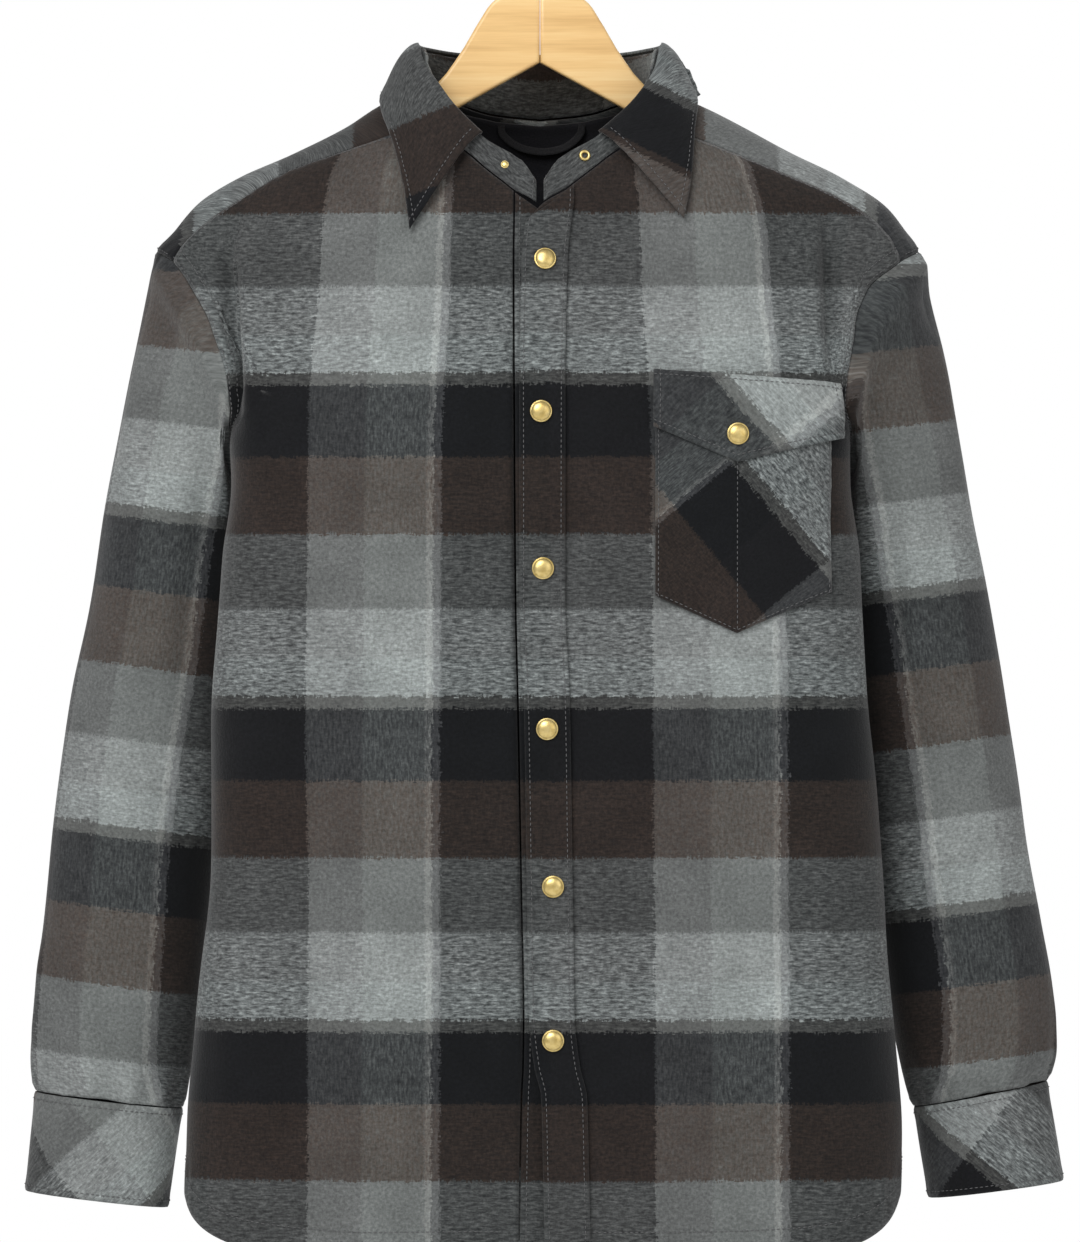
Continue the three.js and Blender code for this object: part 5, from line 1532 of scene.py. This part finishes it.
class SHACKET_OT_pocket(bpy.types.Operator):
    """Adds the chest pocket, its flap and its snap"""

    bl_idname = "shacket.pocket"
    bl_label = "Add Pocket"

    def execute(self, context):
        settings = context.scene.shacket
        pocket, flap = pocket_cloth(), flap_cloth()
        add_flannel(settings, {"pocket": pocket, "pocket_flap": flap})
        middle = pocket.points.shape[1] // 2
        lines = [pocket.line(edge, POCKET_STITCH) for edge in ("start", "end", "bottom")]
        lines += [flap.line(edge, FLAP_STITCH) for edge in ("start", "end", "bottom")]
        lines.append(flap.line("top", FLAP_TOP_STITCH))
        lines.append((pocket.points[1:-1, middle], pocket.normals[1:-1, middle]))
        sew(settings, "pocket_stitches", lines)
        spot, normal = front_spot(*POCKET_SNAP, FLAP_LIFT + 0.8)
        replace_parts(add_snap("pocket_snap_cap", spot, normal, SNAP_RADIUS, 0.3, aged_brass()), "pocket_snap")
        return {"FINISHED"}


class SHACKET_OT_inside(bpy.types.Operator):
    """Adds the lining and the hang loop inside the neck"""

    bl_idname = "shacket.inside"
    bl_label = "Add Lining"

    def execute(self, context):
        dark = plain_cloth("dark_lining", LINING_COLOUR)
        add_sheet("lining_cloth", lining_cloth(), dark, LINING["thick"], "lining_back")
        add_sheet("hang_loop_cloth", loop_cloth(), plain_cloth("loop_cloth", LOOP_COLOUR), LOOP_THICK,
                  "hang_loop")
        return {"FINISHED"}


class SHACKET_OT_hanger(bpy.types.Operator):
    """Adds the wooden hanger and its hook"""

    bl_idname = "shacket.hanger"
    bl_label = "Add Hanger"

    def execute(self, context):
        wood = honey_wood()
        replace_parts(add_arm("hanger_left_wood", -1, wood), "hanger_left")
        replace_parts(add_arm("hanger_right_wood", 1, wood), "hanger_right")
        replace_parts(add_hook("hanger_hook_wire", bright_steel()), "hanger_hook")
        return {"FINISHED"}


class SHACKET_OT_stage(bpy.types.Operator):
    """Adds the floor, the lights, the white surroundings and the camera"""

    bl_idname = "shacket.stage"
    bl_label = "Add Stage"

    def execute(self, context):
        settings = context.scene.shacket_stage
        self.add_floor()
        self.add_lights(settings)
        self.add_world(settings)
        self.add_camera(context, settings)
        context.scene.view_settings.view_transform = "Standard"
        return {"FINISHED"}

    def add_floor(self):
        bm = bmesh.new()
        bmesh.ops.create_grid(bm, x_segments=1, y_segments=1, size=FLOOR_SIZE,
                              matrix=Matrix.Translation((0, 0, FLOOR_Z)))
        finish_mesh(bm, "floor", matt_paint("pale_floor", (0.85, 0.85, 0.85)))

    def add_lights(self, settings):
        lamps = [
            ("key", (-1.3, -2.6, 1.5), 2.2, settings.key_power),
            ("fill", (1.9, -2.4, 0.3), 2.4, settings.fill_power),
            ("back", (0.8, 3.2, 1.0), 2.4, settings.back_power),
        ]
        for name, spot, size, power in lamps:
            lamp = bpy.data.lights.new(name, "AREA")
            lamp.size = size
            lamp.energy = power
            obj = bpy.data.objects.new(name, lamp)
            obj.location = spot
            aim = Vector((0, 0, settings.frame_middle)) - Vector(spot)
            obj.rotation_euler = aim.to_track_quat("-Z", "Y").to_euler()
            bpy.context.scene.collection.objects.link(obj)

    def add_world(self, settings):
        world = bpy.data.worlds.new("white_room")
        world.use_nodes = True
        background = world.node_tree.nodes["Background"]
        background.inputs["Color"].default_value = (1, 1, 1, 1)
        seen = world.node_tree.nodes.new("ShaderNodeLightPath")
        strength = world.node_tree.nodes.new("ShaderNodeMath")
        strength.operation = "MAXIMUM"
        strength.inputs[1].default_value = settings.world_strength
        world.node_tree.links.new(seen.outputs["Is Camera Ray"], strength.inputs[0])
        world.node_tree.links.new(strength.outputs[0], background.inputs["Strength"])
        bpy.context.scene.world = world

    def add_camera(self, context, settings):
        data = bpy.data.cameras.new("camera")
        data.sensor_fit = "AUTO"
        data.sensor_width = SENSOR_WIDTH
        data.lens = SENSOR_WIDTH * (settings.camera_distance - CLOTH_FRONT) / settings.frame_height
        data.clip_end = 30
        camera = bpy.data.objects.new("camera", data)
        camera.location = (0, -settings.camera_distance, settings.frame_middle)
        camera.rotation_euler = (math.pi / 2, 0, 0)
        context.scene.collection.objects.link(camera)
        context.scene.camera = camera


class SHACKET_PT_panel(bpy.types.Panel):
    """The shacket's settings and pieces in the sidebar"""

    bl_idname = "SHACKET_PT_panel"
    bl_label = "Shacket"
    bl_space_type = "VIEW_3D"
    bl_region_type = "UI"
    bl_category = "Shacket"

    def draw(self, context):
        for group in (context.scene.shacket, context.scene.shacket_stage):
            box = self.layout.box()
            for name in group.bl_rna.properties.keys():
                if name not in ("rna_type", "name"):
                    box.prop(group, name)
        for operator in OPERATORS:
            self.layout.operator(operator.bl_idname)


OPERATORS = (
    SHACKET_OT_hanger, SHACKET_OT_body, SHACKET_OT_sleeves, SHACKET_OT_collar, SHACKET_OT_closure,
    SHACKET_OT_pocket, SHACKET_OT_inside, SHACKET_OT_stage,
)
CLASSES = (ShacketSettings, StageSettings, *OPERATORS, SHACKET_PT_panel)


def register():
    for cls in CLASSES:
        bpy.utils.register_class(cls)
    bpy.types.Scene.shacket = bpy.props.PointerProperty(type=ShacketSettings)
    bpy.types.Scene.shacket_stage = bpy.props.PointerProperty(type=StageSettings)


def unregister():
    del bpy.types.Scene.shacket_stage
    del bpy.types.Scene.shacket
    for cls in reversed(CLASSES):
        bpy.utils.unregister_class(cls)


def main():
    register()
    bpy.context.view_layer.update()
    bpy.ops.shacket.hanger()
    bpy.ops.shacket.body()
    bpy.ops.shacket.sleeves()
    bpy.ops.shacket.collar()
    bpy.ops.shacket.closure()
    bpy.ops.shacket.pocket()
    bpy.ops.shacket.inside()
    bpy.ops.shacket.stage()


if __name__ == "__main__":
    main()
